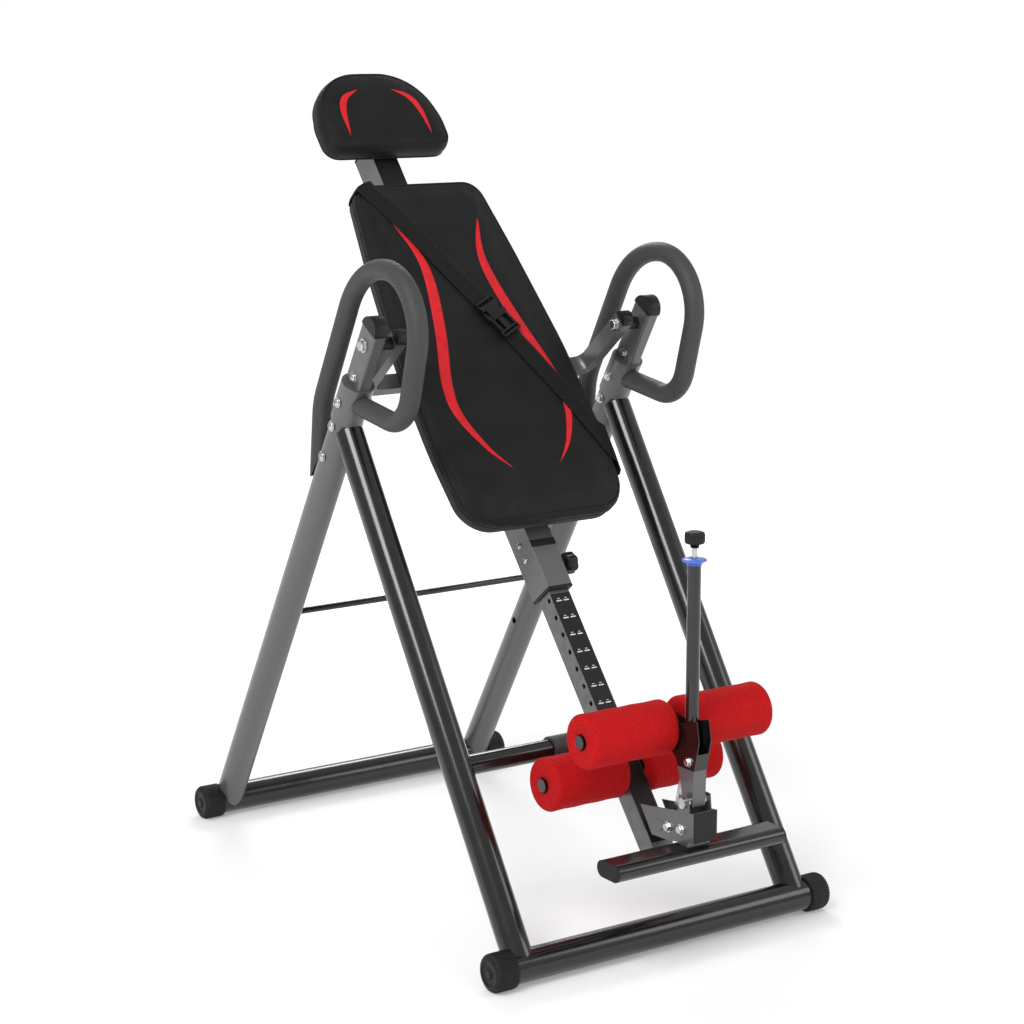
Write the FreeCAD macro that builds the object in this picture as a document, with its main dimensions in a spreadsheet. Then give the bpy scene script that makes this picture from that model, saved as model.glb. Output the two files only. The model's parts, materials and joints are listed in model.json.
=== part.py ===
import FreeCAD, Part
import math
import os

from FreeCAD import Placement, Rotation, Vector

# Inversion table. Millimetres, +Z up, +Y to the rear, +X to the right of a person who lies on it
# and looks up. The origin is on the floor at the middle of the whole object's box.
#
# Two A-shaped sides carry a bed that turns on two bolts at the top of the uprights. The bed's own
# frame has its origin on that axis: x across, y through the bed to its back, z up the bed.
# The upright, collar and rear leg of each side lie on one slanted line, the mast, whose frame has
# its origin at the middle of the top cap, z down the line and y forwards.

os.makedirs("parts", exist_ok=True)
doc = FreeCAD.newDocument("inversion_table")

DIMENSIONS = [
    ("centre_shift", 39.5, "moves the bases' middle behind the object's middle"),
    ("track_half", 283, "plane of each side frame"),
    ("base_spread", 511, "base tube axis from the bases' middle"),
    ("base_rise", 31, "base tube axis above the floor"),
    ("base_tube_dia", 54, "front and rear base tubes"),
    ("base_tube_length", 680, "base tubes"),
    ("base_cap_dia", 64, "rubber cap on a base tube"),
    ("base_cap_start", 303, "inner end of a cap from the middle"),
    ("base_cap_length", 42, "rubber cap"),
    ("tube_wall", 2, "wall of the round tubes"),
    ("front_leg_dia", 51, "front leg"),
    ("front_leg_length", 952, "front leg before it is notched"),
    ("front_leg_lean", 33.86, "front leg from the vertical, degrees"),
    ("rear_leg_dia", 53, "rear leg"),
    ("mast_top_y", -71.6, "middle of the top cap"),
    ("mast_top_z", 1008, "middle of the top cap"),
    ("mast_lean", 30.81, "mast line from the vertical, degrees"),
    ("mast_length", 1137.5, "top cap to rear base axis"),
    ("upright_depth", 48, "flat-sided upright, front to back"),
    ("upright_width", 26, "flat-sided upright, across"),
    ("upright_length", 149, "upright below the cap's middle"),
    ("upright_corner", 6, "upright's corner radius"),
    ("collar_dia", 58, "collar outside"),
    ("collar_start", 112, "collar's top along the mast"),
    ("collar_length", 76.5, "collar"),
    ("leg_socket_start", 151, "rear leg's top along the mast"),
    ("bolt_dia", 8, "frame bolts"),
    ("bolt_head_dia", 17, "button heads"),
    ("bolt_head_rise", 5, "button heads"),
    ("crossbar_y", -323, "crossbar axis"),
    ("crossbar_z", 313, "crossbar axis"),
    ("crossbar_dia", 34, "crossbar between the front legs"),
    ("bumper_dia", 43, "foam sleeve on the crossbar"),
    ("bumper_length", 200, "foam sleeve on the crossbar"),
    ("limit_bar_dia", 12, "bar that stops the bed's turn"),
    ("limit_hole_dia", 13, "holes for that bar"),
    ("limit_hole_first", 410, "first hole along the mast"),
    ("limit_hole_pitch", 118, "hole to hole along the mast"),
    ("handle_tube_dia", 25, "handle's steel tube"),
    ("handle_grip_dia", 35, "handle's foam"),
    ("pivot_y", -56.2, "axis that the bed turns on"),
    ("pivot_z", 981.1, "axis that the bed turns on"),
    ("pivot_bolt_dia", 12, "pivot bolt"),
    ("pivot_head_dia", 22, "pivot bolt's heads"),
    ("running_gap", 0.05, "radial gap of a turning fit"),
    ("bed_lean", 39.5, "bed from the vertical at rest, degrees"),
    ("arm_inner", 224, "inner face of a bed arm"),
    ("arm_width", 20, "bed arm across"),
    ("arm_height", 30, "bed arm along the bed"),
    ("arm_front", -16, "bed arm's front end"),
    ("arm_bend", 35, "outside radius of the arm's bend"),
    ("yoke_back", 148, "back of the yoke and front of the beam"),
    ("beam_width", 50, "main beam across"),
    ("beam_depth", 60, "main beam through the bed"),
    ("beam_wall", 2.5, "main beam's wall"),
    ("beam_low", -421, "main beam's lower end"),
    ("beam_high", 520, "main beam's upper end"),
    ("slide_axis", 178, "axis of the rail and the post in the beam"),
    ("rail_width", 42, "height rail across"),
    ("rail_depth", 38, "height rail through the bed"),
    ("rail_wall", 2.5, "height rail's wall"),
    ("rail_low", -925, "height rail's lower end"),
    ("rail_high", -60, "height rail's upper end"),
    ("rail_hole_pitch", 33, "height holes"),
    ("rail_hole_dia", 9, "height holes"),
    ("slide_gap", 0.4, "gap round the sliding rail and post"),
    ("board_back", 126, "back of the backrest board"),
    ("board_thick", 14, "backrest board"),
    ("pad_thick", 36, "backrest pad on its board"),
    ("back_top", 387, "backrest's upper edge"),
    ("back_bottom", -316, "backrest's lower edge"),
    ("back_top_half", 130, "backrest's half width at the top"),
    ("back_mid_half", 170, "backrest's half width near the waist"),
    ("back_low_half", 166, "backrest's half width at the bottom"),
    ("post_size", 40, "headrest post"),
    ("post_low", 380, "headrest post's lower end"),
    ("post_high", 612, "headrest post's upper end"),
    ("head_low", 484, "headrest pad's lower edge"),
    ("head_high", 652, "headrest pad's upper edge"),
    ("head_half", 128, "headrest pad's half width"),
    ("head_back", 145, "headrest pad's back"),
    ("head_thick", 50, "headrest pad"),
    ("knob_dia", 40, "height knob"),
    ("knob_along", -374, "height knob along the bed"),
    ("knob_through", 168, "height knob through the bed"),
    ("pin_dia", 8, "height pin"),
    ("roller_dia", 90, "foam roller"),
    ("axle_dia", 14, "roller axles"),
    ("rear_roller_start", 24, "rear roller's inner end"),
    ("rear_roller_length", 148, "rear roller"),
    ("front_roller_start", 14, "front roller's inner end"),
    ("front_roller_length", 166, "front roller"),
    ("rear_axle_along", -762, "rear roller axle along the bed"),
    ("rear_axle_through", 168, "rear roller axle through the bed"),
    ("front_axle_y", -528.6, "front roller axle"),
    ("front_axle_z", 390.8, "front roller axle"),
    ("foot_bar_y", -592, "foot bar's middle"),
    ("foot_bar_z", 192.5, "foot bar's middle"),
    ("foot_bar_depth", 60, "flat oval foot bar, front to back"),
    ("foot_bar_height", 28, "flat oval foot bar"),
    ("foot_bar_length", 336, "foot bar without its caps"),
    ("cap_skin", 3, "thickness of the small end caps"),
    ("bracket_width", 46, "ankle bracket outside"),
    ("bracket_wall", 2, "ankle bracket's cheeks"),
    ("lever_pivot_y", -593, "ankle lever's pin"),
    ("lever_pivot_z", 279, "ankle lever's pin"),
    ("lever_pin_dia", 10, "ankle lever's pin"),
    ("channel_width", 26, "lever channel outside"),
    ("channel_wall", 2, "lever channel's cheeks"),
    ("clamp_low", 333, "where the lever's link ends and its clamp starts"),
    ("lever_tube_dia", 22, "ankle lever's tube"),
    ("lever_tube_low", 335, "ankle lever's tube"),
    ("lever_tube_high", 668, "ankle lever's tube"),
    ("lever_tube_y", -583, "ankle lever's tube"),
    ("lever_disc_dia", 41, "disc under the knob"),
    ("lever_disc_thick", 11, "disc under the knob"),
    ("release_rod_dia", 9, "release rod"),
    ("release_knob_dia", 33, "release knob"),
    ("release_knob_low", 696, "release knob"),
    ("release_knob_rise", 26, "release knob"),
    ("ratchet_thick", 6, "ratchet plate"),
    ("belt_width", 38, "webbing"),
    ("belt_thick", 2, "webbing"),
]

sheet = doc.addObject("Spreadsheet::Sheet", "dims")
for row, (alias, size, note) in enumerate(DIMENSIONS, 1):
    sheet.set(f"A{row}", alias)
    sheet.set(f"B{row}", str(size))
    sheet.set(f"C{row}", note)
    sheet.setAlias(f"B{row}", alias)
doc.recompute()
d = {alias: float(sheet.get(alias)) for alias, size, note in DIMENSIONS}

NODES = []
SIDES = (("left", -1), ("right", 1))
TO_X = Rotation(Vector(0, 1, 0), 90)


def world(x, y, z):
    """A point given from the bases' middle, in the object's frame."""
    return Vector(x, y + d["centre_shift"], z)


BED = Placement(world(0, d["pivot_y"], d["pivot_z"]), Rotation(Vector(1, 0, 0), -d["bed_lean"]))


def mast(side):
    turn = Rotation(Vector(1, 0, 0), 180 + d["mast_lean"])
    return Placement(world(side * d["track_half"], d["mast_top_y"], d["mast_top_z"]), turn)


def node(item, label):
    item.Label = label
    NODES.append(item)
    return item


def primitive(kind, name, place, **rules):
    """A Part primitive whose sizes follow the sheet."""
    item = doc.addObject("Part::" + kind, name)
    for size, rule in rules.items():
        item.setExpression(size, rule)
    item.Placement = place
    return item


def rod(name, place, dia, length):
    """A cylinder along its placement's z."""
    return primitive("Cylinder", name, place, Radius=f"({dia}) / 2", Height=length)


def rod_across(name, x, y, z, dia, length, frame=None):
    """A cylinder along x from x to x + length, in the given frame."""
    start = Vector(x, y, z) if frame else world(x, y, z)
    place = Placement(start, TO_X)
    return rod(name, frame.multiply(place) if frame else place, dia, length)


def block(name, frame, corner, across, through, along):
    """A box whose lowest corner is at corner in the given frame."""
    place = frame.multiply(Placement(Vector(*corner), Rotation()))
    return primitive("Box", name, place, Length=across, Width=through, Height=along)


def cut(name, base, *tools):
    """base less each tool in turn."""
    for number, tool in enumerate(tools):
        item = doc.addObject("Part::Cut", f"{name}_cut{number}")
        item.Base = base
        item.Tool = tool
        base = item
    return base


def fuse(name, *solids):
    item = doc.addObject("Part::MultiFuse", name)
    item.Shapes = list(solids)
    return item


def group(name, solids):
    """Separate solids in one sub-part."""
    item = doc.addObject("Part::Compound", name)
    item.Links = list(solids)
    return item


def rounded(points, radii, closed=True):
    """Lines and tangent arcs along the points, with a radius at each point (0 keeps it sharp)."""
    count = len(points)
    starts, ends, arcs = [], [], []
    for i, point in enumerate(points):
        inner = closed or 0 < i < count - 1
        if not inner or radii[i] == 0:
            starts.append(point)
            ends.append(point)
            arcs.append(None)
            continue
        back = (points[i - 1] - point).normalize()
        ahead = (points[(i + 1) % count] - point).normalize()
        half = back.getAngle(ahead) / 2
        reach = radii[i] / math.tan(half)
        middle = (back + ahead).normalize()
        centre = point + middle * (radii[i] / math.sin(half))
        starts.append(point + back * reach)
        ends.append(point + ahead * reach)
        arcs.append(Part.Arc(starts[-1], centre - middle * radii[i], ends[-1]))
    edges = []
    for i in range(count):
        if arcs[i]:
            edges.append(arcs[i])
        if closed or i < count - 1:
            following = starts[(i + 1) % count]
            if ends[i].distanceToPoint(following) > 0.001:
                edges.append(Part.LineSegment(ends[i], following))
    return edges


def prism(name, plane, points, radii, thickness, place):
    """A body padded both ways from an outline on one of its own origin planes."""
    body = doc.addObject("PartDesign::Body", name)
    sketch = body.newObject("Sketcher::SketchObject", name + "_outline")
    origin = next(item for item in body.Origin.OriginFeatures if item.Role == plane)
    sketch.AttachmentSupport = [(origin, "")]
    sketch.MapMode = "FlatFace"
    corners = [Vector(across, up, 0) for across, up in points]
    sketch.addGeometry(rounded(corners, radii), False)
    pad = body.newObject("PartDesign::Pad", name + "_pad")
    pad.Profile = sketch
    pad.setExpression("Length", thickness)
    pad.SideType = "Symmetric"
    body.Tip = pad
    body.Placement = place
    return body


def side_prism(name, points, radius, thickness, x=0):
    """A prism with its outline in the object's y and z, padded along x."""
    place = Placement(world(x, 0, 0), Rotation())
    return prism(name, "YZ_Plane", points, [radius] * len(points), thickness, place)


def bed_prism(name, points, radii, thickness, middle):
    """A prism with its outline across and up the bed, padded through the bed."""
    place = BED.multiply(Placement(Vector(0, middle, 0), Rotation()))
    return prism(name, "XZ_Plane", points, radii, thickness, place)


def mirrored(points):
    """The right half of an outline, top to bottom, with its mirror image."""
    return points + [(-across, up) for across, up in reversed(points)]


# ---------------------------------------------------------------- side frames

def foot_tools(key, side, y):
    """The base tube and its cap, as tools that notch a leg's foot."""
    tube = rod_across(key + "_foot", -400, y, d["base_rise"], "dims.base_tube_dia", "800")
    start = d["base_cap_start"] if side > 0 else -d["base_cap_start"] - d["base_cap_length"]
    cap = rod_across(key + "_foot_cap", start, y, d["base_rise"], "dims.base_cap_dia",
                     "dims.base_cap_length")
    return [tube, cap]


def base(which, sign):
    y = sign * d["base_spread"]
    z = d["base_rise"]
    outer = rod_across(which + "_base_outer", -d["base_tube_length"] / 2, y, z,
                       "dims.base_tube_dia", "dims.base_tube_length")
    bore = rod_across(which + "_base_bore", -d["base_tube_length"] / 2, y, z,
                      "dims.base_tube_dia - 2 * dims.tube_wall", "dims.base_tube_length")
    node(cut(which + "_base", outer, bore), which + "_base_tube")
    caps = []
    for name, side in SIDES:
        label = f"{which}_{name}_cap"
        start = min(side * d["base_cap_start"], side * (d["base_cap_start"] + d["base_cap_length"]))
        cup = rod_across(label + "_cup", start, y, z, "dims.base_cap_dia", "dims.base_cap_length")
        fit = rod_across(label + "_fit", -d["base_tube_length"] / 2, y, z,
                         "dims.base_tube_dia", "dims.base_tube_length")
        floor = block(label + "_floor", Placement(), (-400, y + d["centre_shift"] - 50, -20),
                      "800", "100", "20")
        caps.append(cut(label, cup, fit, floor))
    node(group(which + "_caps", caps), which + "_base_caps")


def mast_tool(name, side, dia, start, length):
    place = mast(side).multiply(Placement(Vector(0, 0, start), Rotation()))
    return rod(name, place, dia, length)


def front_leg(name, side):
    turn = Rotation(Vector(1, 0, 0), -d["front_leg_lean"])
    place = Placement(world(side * d["track_half"], -d["base_spread"], d["base_rise"]), turn)
    key = name + "_front_leg"
    outer = rod(key + "_outer", place, "dims.front_leg_dia", "dims.front_leg_length")
    bore = rod(key + "_bore", place, "dims.front_leg_dia - 2 * dims.tube_wall",
               "dims.front_leg_length")
    foot = foot_tools(key, side, -d["base_spread"])
    head = mast_tool(key + "_head", side, "dims.collar_dia", d["collar_start"],
                     "dims.collar_length")
    below = mast_tool(key + "_below", side, "dims.rear_leg_dia + 0.2", d["leg_socket_start"], "200")
    return node(cut(key, outer, bore, *foot, head, below), key)


BOLTS = (("upright", 99, 13), ("collar", 151, 29.2), ("leg", 203, 26.7), ("handle", 270, 26.7))


def bolt_holes(key, name, side):
    """The bolts' shafts, as tools for the tubes that they cross."""
    return [rod_across(f"{key}_{bolt}_hole", -40, 0, along, "dims.bolt_dia", "80", mast(side))
            for bolt, along, seat in BOLTS]


def rear_leg(name, side):
    key = name + "_rear_leg"
    start = d["leg_socket_start"]
    length = "dims.mast_length - dims.leg_socket_start"
    outer = mast_tool(key + "_outer", side, "dims.rear_leg_dia", start, length)
    bore = mast_tool(key + "_bore", side, "dims.rear_leg_dia - 2 * dims.tube_wall", start, length)
    foot = foot_tools(key, side, d["base_spread"])
    inward = 0 if side < 0 else -40
    limit_holes = [rod_across(f"{key}_limit{number}", inward, 0,
                              d["limit_hole_first"] + number * d["limit_hole_pitch"],
                              "dims.limit_hole_dia", "40", mast(side)) for number in range(4)]
    tools = [bore] + foot + bolt_holes(key, name, side) + limit_holes
    return node(cut(key, outer, *tools), key)


def upright_bar(key, side, trim, start, length):
    """A bar with the upright's section less trim on each face."""
    wide = f"dims.upright_width - 2 * {trim}"
    deep = f"dims.upright_depth - 2 * {trim}"
    bar = block(key, mast(side), (-d["upright_width"] / 2 + trim, -d["upright_depth"] / 2 + trim,
                                  start), wide, deep, length)
    rounded_bar = doc.addObject("Part::Fillet", key + "_rounded")
    rounded_bar.Base = bar
    doc.recompute()
    long_edges = [number for number, edge in enumerate(bar.Shape.Edges, 1)
                  if abs(edge.Length - bar.Height.Value) < 0.001]
    corner = d["upright_corner"] - trim
    rounded_bar.Edges = [(number, corner, corner) for number in long_edges]
    return rounded_bar


def upright(name, side):
    key = name + "_upright"
    outer = upright_bar(key + "_outer", side, 0, 0, "dims.upright_length")
    inner = upright_bar(key + "_inner", side, d["tube_wall"], -1, "dims.upright_length + 2")
    pivot = rod_across(key + "_pivot", -400, d["pivot_y"], d["pivot_z"],
                       "dims.pivot_bolt_dia + 2 * dims.running_gap", "800")
    tools = [inner, pivot] + bolt_holes(key, name, side)
    return node(cut(key, outer, *tools), key)


def upright_cap(name, side):
    """Half-round plug on top of the upright."""
    key = name + "_upright_cap"
    half = d["upright_width"] / 2
    dome = rod_across(key + "_dome", -half, 0, 0, "dims.upright_depth", "dims.upright_width",
                      mast(side))
    below = block(key + "_below", mast(side), (-50, -50, 0), "100", "100", "100")
    return cut(key, dome, below)


def collar(name, side):
    key = name + "_collar"
    shell = mast_tool(key + "_shell", side, "dims.collar_dia", d["collar_start"],
                      "dims.collar_length")
    pocket = upright_bar(key + "_pocket", side, 0, 0, "dims.upright_length")
    socket = mast_tool(key + "_socket", side, "dims.rear_leg_dia", d["leg_socket_start"], "100")
    tools = [pocket, socket] + bolt_holes(key, name, side)
    return node(cut(key, shell, *tools), key)


def frame_bolt(name, side, bolt, along, seat):
    key = f"{name}_{bolt}_bolt"
    reach = seat + d["bolt_head_rise"]
    shaft = rod_across(key + "_shaft", -seat, 0, along, "dims.bolt_dia", f"2 * {seat}", mast(side))
    heads = [rod_across(f"{key}_head{number}", start, 0, along, "dims.bolt_head_dia",
                        "dims.bolt_head_rise", mast(side))
             for number, start in enumerate((-reach, seat))]
    return fuse(key, shaft, *heads)


def handle_path(side):
    """Centre line of a handle: up from the collar, forwards, over the top and down to the leg."""
    corners = ((-10, 875), (-170, 854), (-242, 1112), (-27, 1112), (110, 864), (125, 730))
    radii = (0, 62, 100, 140, 120, 0)
    points = [world(side * d["track_half"], y, z) for y, z in corners]
    return Part.Wire([edge.toShape() for edge in rounded(points, radii, closed=False)])


def swept(path, dia):
    start = path.Edges[0].Curve.Direction
    ring = Part.Circle(path.Vertexes[0].Point, start, dia / 2).toShape()
    return path.makePipeShell([Part.Wire([ring])], True, False, 2)


def handle_pieces(side):
    """The bent steel tube and the foam over it, both notched where they meet the mast."""
    path = handle_path(side)
    core = swept(path, d["handle_tube_dia"])
    bore = swept(path, d["handle_tube_dia"] - 2 * d["tube_wall"])
    foam = swept(path, d["handle_grip_dia"])
    along = mast(side)
    reach = along.Base + along.Rotation.multVec(Vector(0, 0, d["collar_start"]))
    thick = Part.makeCylinder(d["collar_dia"] / 2, d["collar_length"] + 1, reach,
                              along.Rotation.multVec(Vector(0, 0, 1)))
    thin = Part.makeCylinder(d["rear_leg_dia"] / 2, 600, reach,
                             along.Rotation.multVec(Vector(0, 0, 1)))
    blocked = thick.fuse(thin)
    tube = core.cut(bore).cut(blocked)
    foam_gap = Part.makeCylinder(d["collar_dia"] / 2 + 3, 600, reach,
                                 along.Rotation.multVec(Vector(0, 0, 1)))
    grip = foam.cut(core).cut(foam_gap)
    biggest = max(tube.Solids, key=lambda solid: solid.Volume)
    outside = max(grip.Solids, key=lambda solid: solid.Volume)
    return biggest, outside


def handles():
    tubes = []
    for name, side in SIDES:
        tube, grip = handle_pieces(side)
        tubes.append(tube)
        foam = doc.addObject("Part::Feature", name + "_grip")
        foam.Shape = grip
        foam.Placement = Placement()
        node(foam, name + "_handle_grip")
    both = doc.addObject("Part::Feature", "handles")
    both.Shape = Part.makeCompound(tubes)
    both.Placement = Placement()
    node(both, "handle_tubes")


def cross_pieces():
    y = d["crossbar_y"]
    z = d["crossbar_z"]
    bar = rod_across("crossbar_bar", -d["track_half"], y, z, "dims.crossbar_dia",
                     "2 * dims.track_half")
    legs = []
    for name, side in SIDES:
        turn = Rotation(Vector(1, 0, 0), -d["front_leg_lean"])
        foot = world(side * d["track_half"], -d["base_spread"], d["base_rise"])
        legs.append(rod(f"crossbar_{name}_notch", Placement(foot, turn), "dims.front_leg_dia",
                        "dims.front_leg_length"))
    node(cut("crossbar", bar, *legs), "crossbar")
    sleeve = rod_across("bumper_sleeve", -d["bumper_length"] / 2, y, z, "dims.bumper_dia",
                        "dims.bumper_length")
    bore = rod_across("bumper_bore", -d["bumper_length"] / 2, y, z, "dims.crossbar_dia",
                      "dims.bumper_length")
    node(cut("bumper", sleeve, bore), "crossbar_bumper")
    along = d["limit_hole_first"] + 2 * d["limit_hole_pitch"]
    limit = rod_across("limit", -2 * d["track_half"], 0, along, "dims.limit_bar_dia",
                       "2 * dims.track_half", mast(1))
    node(limit, "angle_limit_bar")


def frame_pieces():
    base("front", -1)
    base("rear", 1)
    for name, side in SIDES:
        front_leg(name, side)
        rear_leg(name, side)
        upright(name, side)
        collar(name, side)
    node(group("caps", [upright_cap(name, side) for name, side in SIDES]), "upright_caps")
    node(group("bolts", [frame_bolt(name, side, *bolt) for name, side in SIDES for bolt in BOLTS]),
         "frame_bolts")
    handles()
    cross_pieces()


# ---------------------------------------------------------------- bed

def bush(name, side):
    inner = d["arm_inner"] + d["arm_width"] + 1
    outer = d["track_half"] - d["upright_width"] / 2
    start = inner if side > 0 else -outer
    length = "dims.track_half - dims.upright_width / 2 - dims.arm_inner - dims.arm_width - 1"
    ring = rod_across(name + "_bush_ring", start, 0, 0, "dims.pivot_bolt_dia + 10", length, BED)
    bore = rod_across(name + "_bush_bore", start, 0, 0,
                      "dims.pivot_bolt_dia + 2 * dims.running_gap", length, BED)
    return cut(name + "_bush", ring, bore)


def pivot_bolt(name, side):
    """Bolt from the arm's inner face to just outside the upright, with a head at each end."""
    inner = d["arm_inner"]
    outer = d["track_half"] + d["upright_width"] / 2 + 0.4
    head = 6
    span = outer - inner
    shaft = rod_across(name + "_pivot_shaft", inner if side > 0 else -outer, 0, 0,
                       "dims.pivot_bolt_dia", f"{span}", BED)
    ends = (inner - head, outer) if side > 0 else (-outer - head, -inner)
    heads = [rod_across(f"{name}_pivot_head{number}", start, 0, 0, "dims.pivot_head_dia",
                        f"{head}", BED) for number, start in enumerate(ends)]
    return fuse(name + "_pivot_bolt", shaft, *heads)


def arm(name, side):
    """A flat bar from the pivot to the back, bent in towards the beam."""
    inner = d["arm_inner"]
    outer = inner + d["arm_width"]
    back = d["yoke_back"]
    stop = outer - d["arm_bend"]
    points = [(side * inner, d["arm_front"]), (side * outer, d["arm_front"]), (side * outer, back),
              (side * stop, back), (side * stop, back - d["arm_width"]),
              (side * inner, back - d["arm_width"])]
    bend = d["arm_bend"] - 0.01
    radii = [0, 0, bend, 0, 0, bend - d["arm_width"]]
    bar = prism(name + "_arm_bar", "XY_Plane", points, radii, "dims.arm_height", BED)
    hole = rod_across(name + "_arm_hole", -300, 0, 0, "dims.pivot_bolt_dia", "600", BED)
    return node(cut(name + "_arm", bar, hole), name + "_bed_arm")


def arm_cap(name, side):
    """Half-round plug on the arm's front end."""
    key = name + "_arm_cap"
    start = d["arm_inner"] if side > 0 else -d["arm_inner"] - d["arm_width"]
    dome = rod_across(key + "_dome", start, d["arm_front"], 0, "dims.arm_height",
                      "dims.arm_width", BED)
    behind = block(key + "_behind", BED, (-400, d["arm_front"], -50), "800", "100", "100")
    return cut(key, dome, behind)


def beam_pieces():
    low = d["beam_low"]
    wall = d["beam_wall"]
    half = d["beam_width"] / 2
    front = d["yoke_back"]
    length = "dims.beam_high - dims.beam_low"
    outer = block("beam_outer", BED, (-half, front, low), "dims.beam_width", "dims.beam_depth",
                  length)
    inner = block("beam_inner", BED, (-half + wall, front + wall, low),
                  "dims.beam_width - 2 * dims.beam_wall", "dims.beam_depth - 2 * dims.beam_wall",
                  length)
    pin_hole = rod_across("beam_pin_hole", 0, d["knob_through"], d["knob_along"],
                          "dims.pin_dia + 0.6", "60", BED)
    node(cut("beam", outer, inner, pin_hole), "main_beam")
    liner_pieces(half, wall, front)
    boss = rod_across("boss_ring", half, d["knob_through"], d["knob_along"], "22", "9", BED)
    bore = rod_across("boss_bore", half, d["knob_through"], d["knob_along"],
                      "dims.pin_dia + 0.6", "9", BED)
    node(cut("boss", boss, bore), "knob_boss")


def liner_pieces(half, wall, front):
    """Plastic guides in the beam's two ends, each with a rim outside."""
    depth = 24
    rim = 5
    liners = []
    for key, end, wide, deep in (("low", d["beam_low"], "dims.rail_width", "dims.rail_depth"),
                                 ("high", d["beam_high"], "dims.post_size", "dims.post_size")):
        inside = end if key == "low" else end - depth
        outside = end - rim if key == "low" else end
        plug = block(f"liner_{key}_plug", BED, (-half + wall, front + wall, inside),
                     "dims.beam_width - 2 * dims.beam_wall",
                     "dims.beam_depth - 2 * dims.beam_wall", f"{depth}")
        lip = block(f"liner_{key}_rim", BED, (-half, front, outside), "dims.beam_width",
                    "dims.beam_depth", f"{rim}")
        wide_now = d[wide.split(".")[1]] / 2 + d["slide_gap"]
        deep_now = d[deep.split(".")[1]] / 2 + d["slide_gap"]
        way = block(f"liner_{key}_way", BED, (-wide_now, d["slide_axis"] - deep_now, end - 60),
                    wide + " + 2 * dims.slide_gap", deep + " + 2 * dims.slide_gap", "120")
        liners.append(cut(f"liner_{key}", fuse(f"liner_{key}_whole", plug, lip), way))
    node(group("liners", liners), "beam_liners")


def backrest_outline():
    """Right half, top to bottom: narrow shoulders, widest at the waist, rounded lower corners."""
    top = d["back_top"]
    low = d["back_bottom"]
    return [(d["back_top_half"], top), (150, 230), (d["back_mid_half"], 20),
            (d["back_low_half"] + 6, -160), (d["back_low_half"] - 4, low)]


BACK_RADII = [38, 500, 700, 900, 62]


def backrest():
    outline = mirrored(backrest_outline())
    radii = BACK_RADII + BACK_RADII[::-1]
    board_mid = d["board_back"] - d["board_thick"] / 2
    pad_mid = d["board_back"] - d["board_thick"] - d["pad_thick"] / 2
    node(bed_prism("board", outline, radii, "dims.board_thick", board_mid), "backrest_board")
    node(bed_prism("pad", outline, radii, "dims.pad_thick", pad_mid), "backrest_pad")
    bars = [block(f"pad_bracket{number}", BED, (-90, d["board_back"], along), "180",
                  "dims.yoke_back - dims.board_back", "30")
            for number, along in enumerate((240, -245))]
    node(group("brackets", bars), "pad_brackets")


def belt():
    """Webbing laid slantwise over the pad from the left shoulder to the right hip."""
    front = d["board_back"] - d["board_thick"] - d["pad_thick"]
    high = Vector(-106, 366, 0)
    low = Vector(166, -182, 0)
    run = (low - high).normalize()
    half = Vector(-run.y, run.x, 0) * (d["belt_width"] / 2)
    corners = [high - half, high + half, low + half, low - half]
    points = [(corner.x, corner.y) for corner in corners]
    middle = front - 0.5 - d["belt_thick"] / 2
    node(bed_prism("strap", points, [0] * 4, "dims.belt_thick", middle), "belt_strap")
    centre = high + (low - high) * 0.53
    lean = math.degrees(math.atan2(run.x, run.y))
    place = BED.multiply(Placement(Vector(centre.x, front - 3, centre.y),
                                   Rotation(Vector(0, 1, 0), lean)))
    clip = block("buckle", place, (-24, -12, -34), "48", "12", "68")
    node(clip, "belt_buckle")


def yoke_middle():
    half = d["arm_inner"] + d["arm_width"] - d["arm_bend"]
    corner = (-half, d["yoke_back"] - d["arm_width"], -d["arm_height"] / 2)
    node(block("yoke", BED, corner, f"{2 * half}", "dims.arm_width", "dims.arm_height"),
         "bed_cross_tube")


def bed_pieces():
    node(group("bushes", [bush(name, side) for name, side in SIDES]), "pivot_bushes")
    node(group("pivots", [pivot_bolt(name, side) for name, side in SIDES]), "pivot_bolts")
    for name, side in SIDES:
        arm(name, side)
    node(group("arm_caps", [arm_cap(name, side) for name, side in SIDES]), "bed_arm_caps")
    yoke_middle()
    beam_pieces()
    backrest()
    belt()


# ---------------------------------------------------------------- headrest

def headrest():
    half = d["post_size"] / 2
    post = block("post", BED, (-half, d["slide_axis"] - half, d["post_low"]), "dims.post_size",
                 "dims.post_size", "dims.post_high - dims.post_low")
    node(post, "headrest_post")
    plate = block("head_plate", BED, (-45, d["head_back"], d["beam_high"] + 12), "90",
                  "dims.slide_axis - dims.post_size / 2 - dims.head_back", "70")
    node(plate, "headrest_plate")
    low = d["head_low"]
    high = d["head_high"]
    wide = d["head_half"]
    outline = mirrored([(wide * 0.8, high), (wide, low + 62), (wide, low)])
    radii = [100, 40, 24]
    middle = d["head_back"] - d["head_thick"] / 2
    pad = bed_prism("head_pad", outline, radii + radii[::-1], "dims.head_thick", middle)
    node(pad, "headrest_pad")


# ---------------------------------------------------------------- height rail and knob

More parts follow.
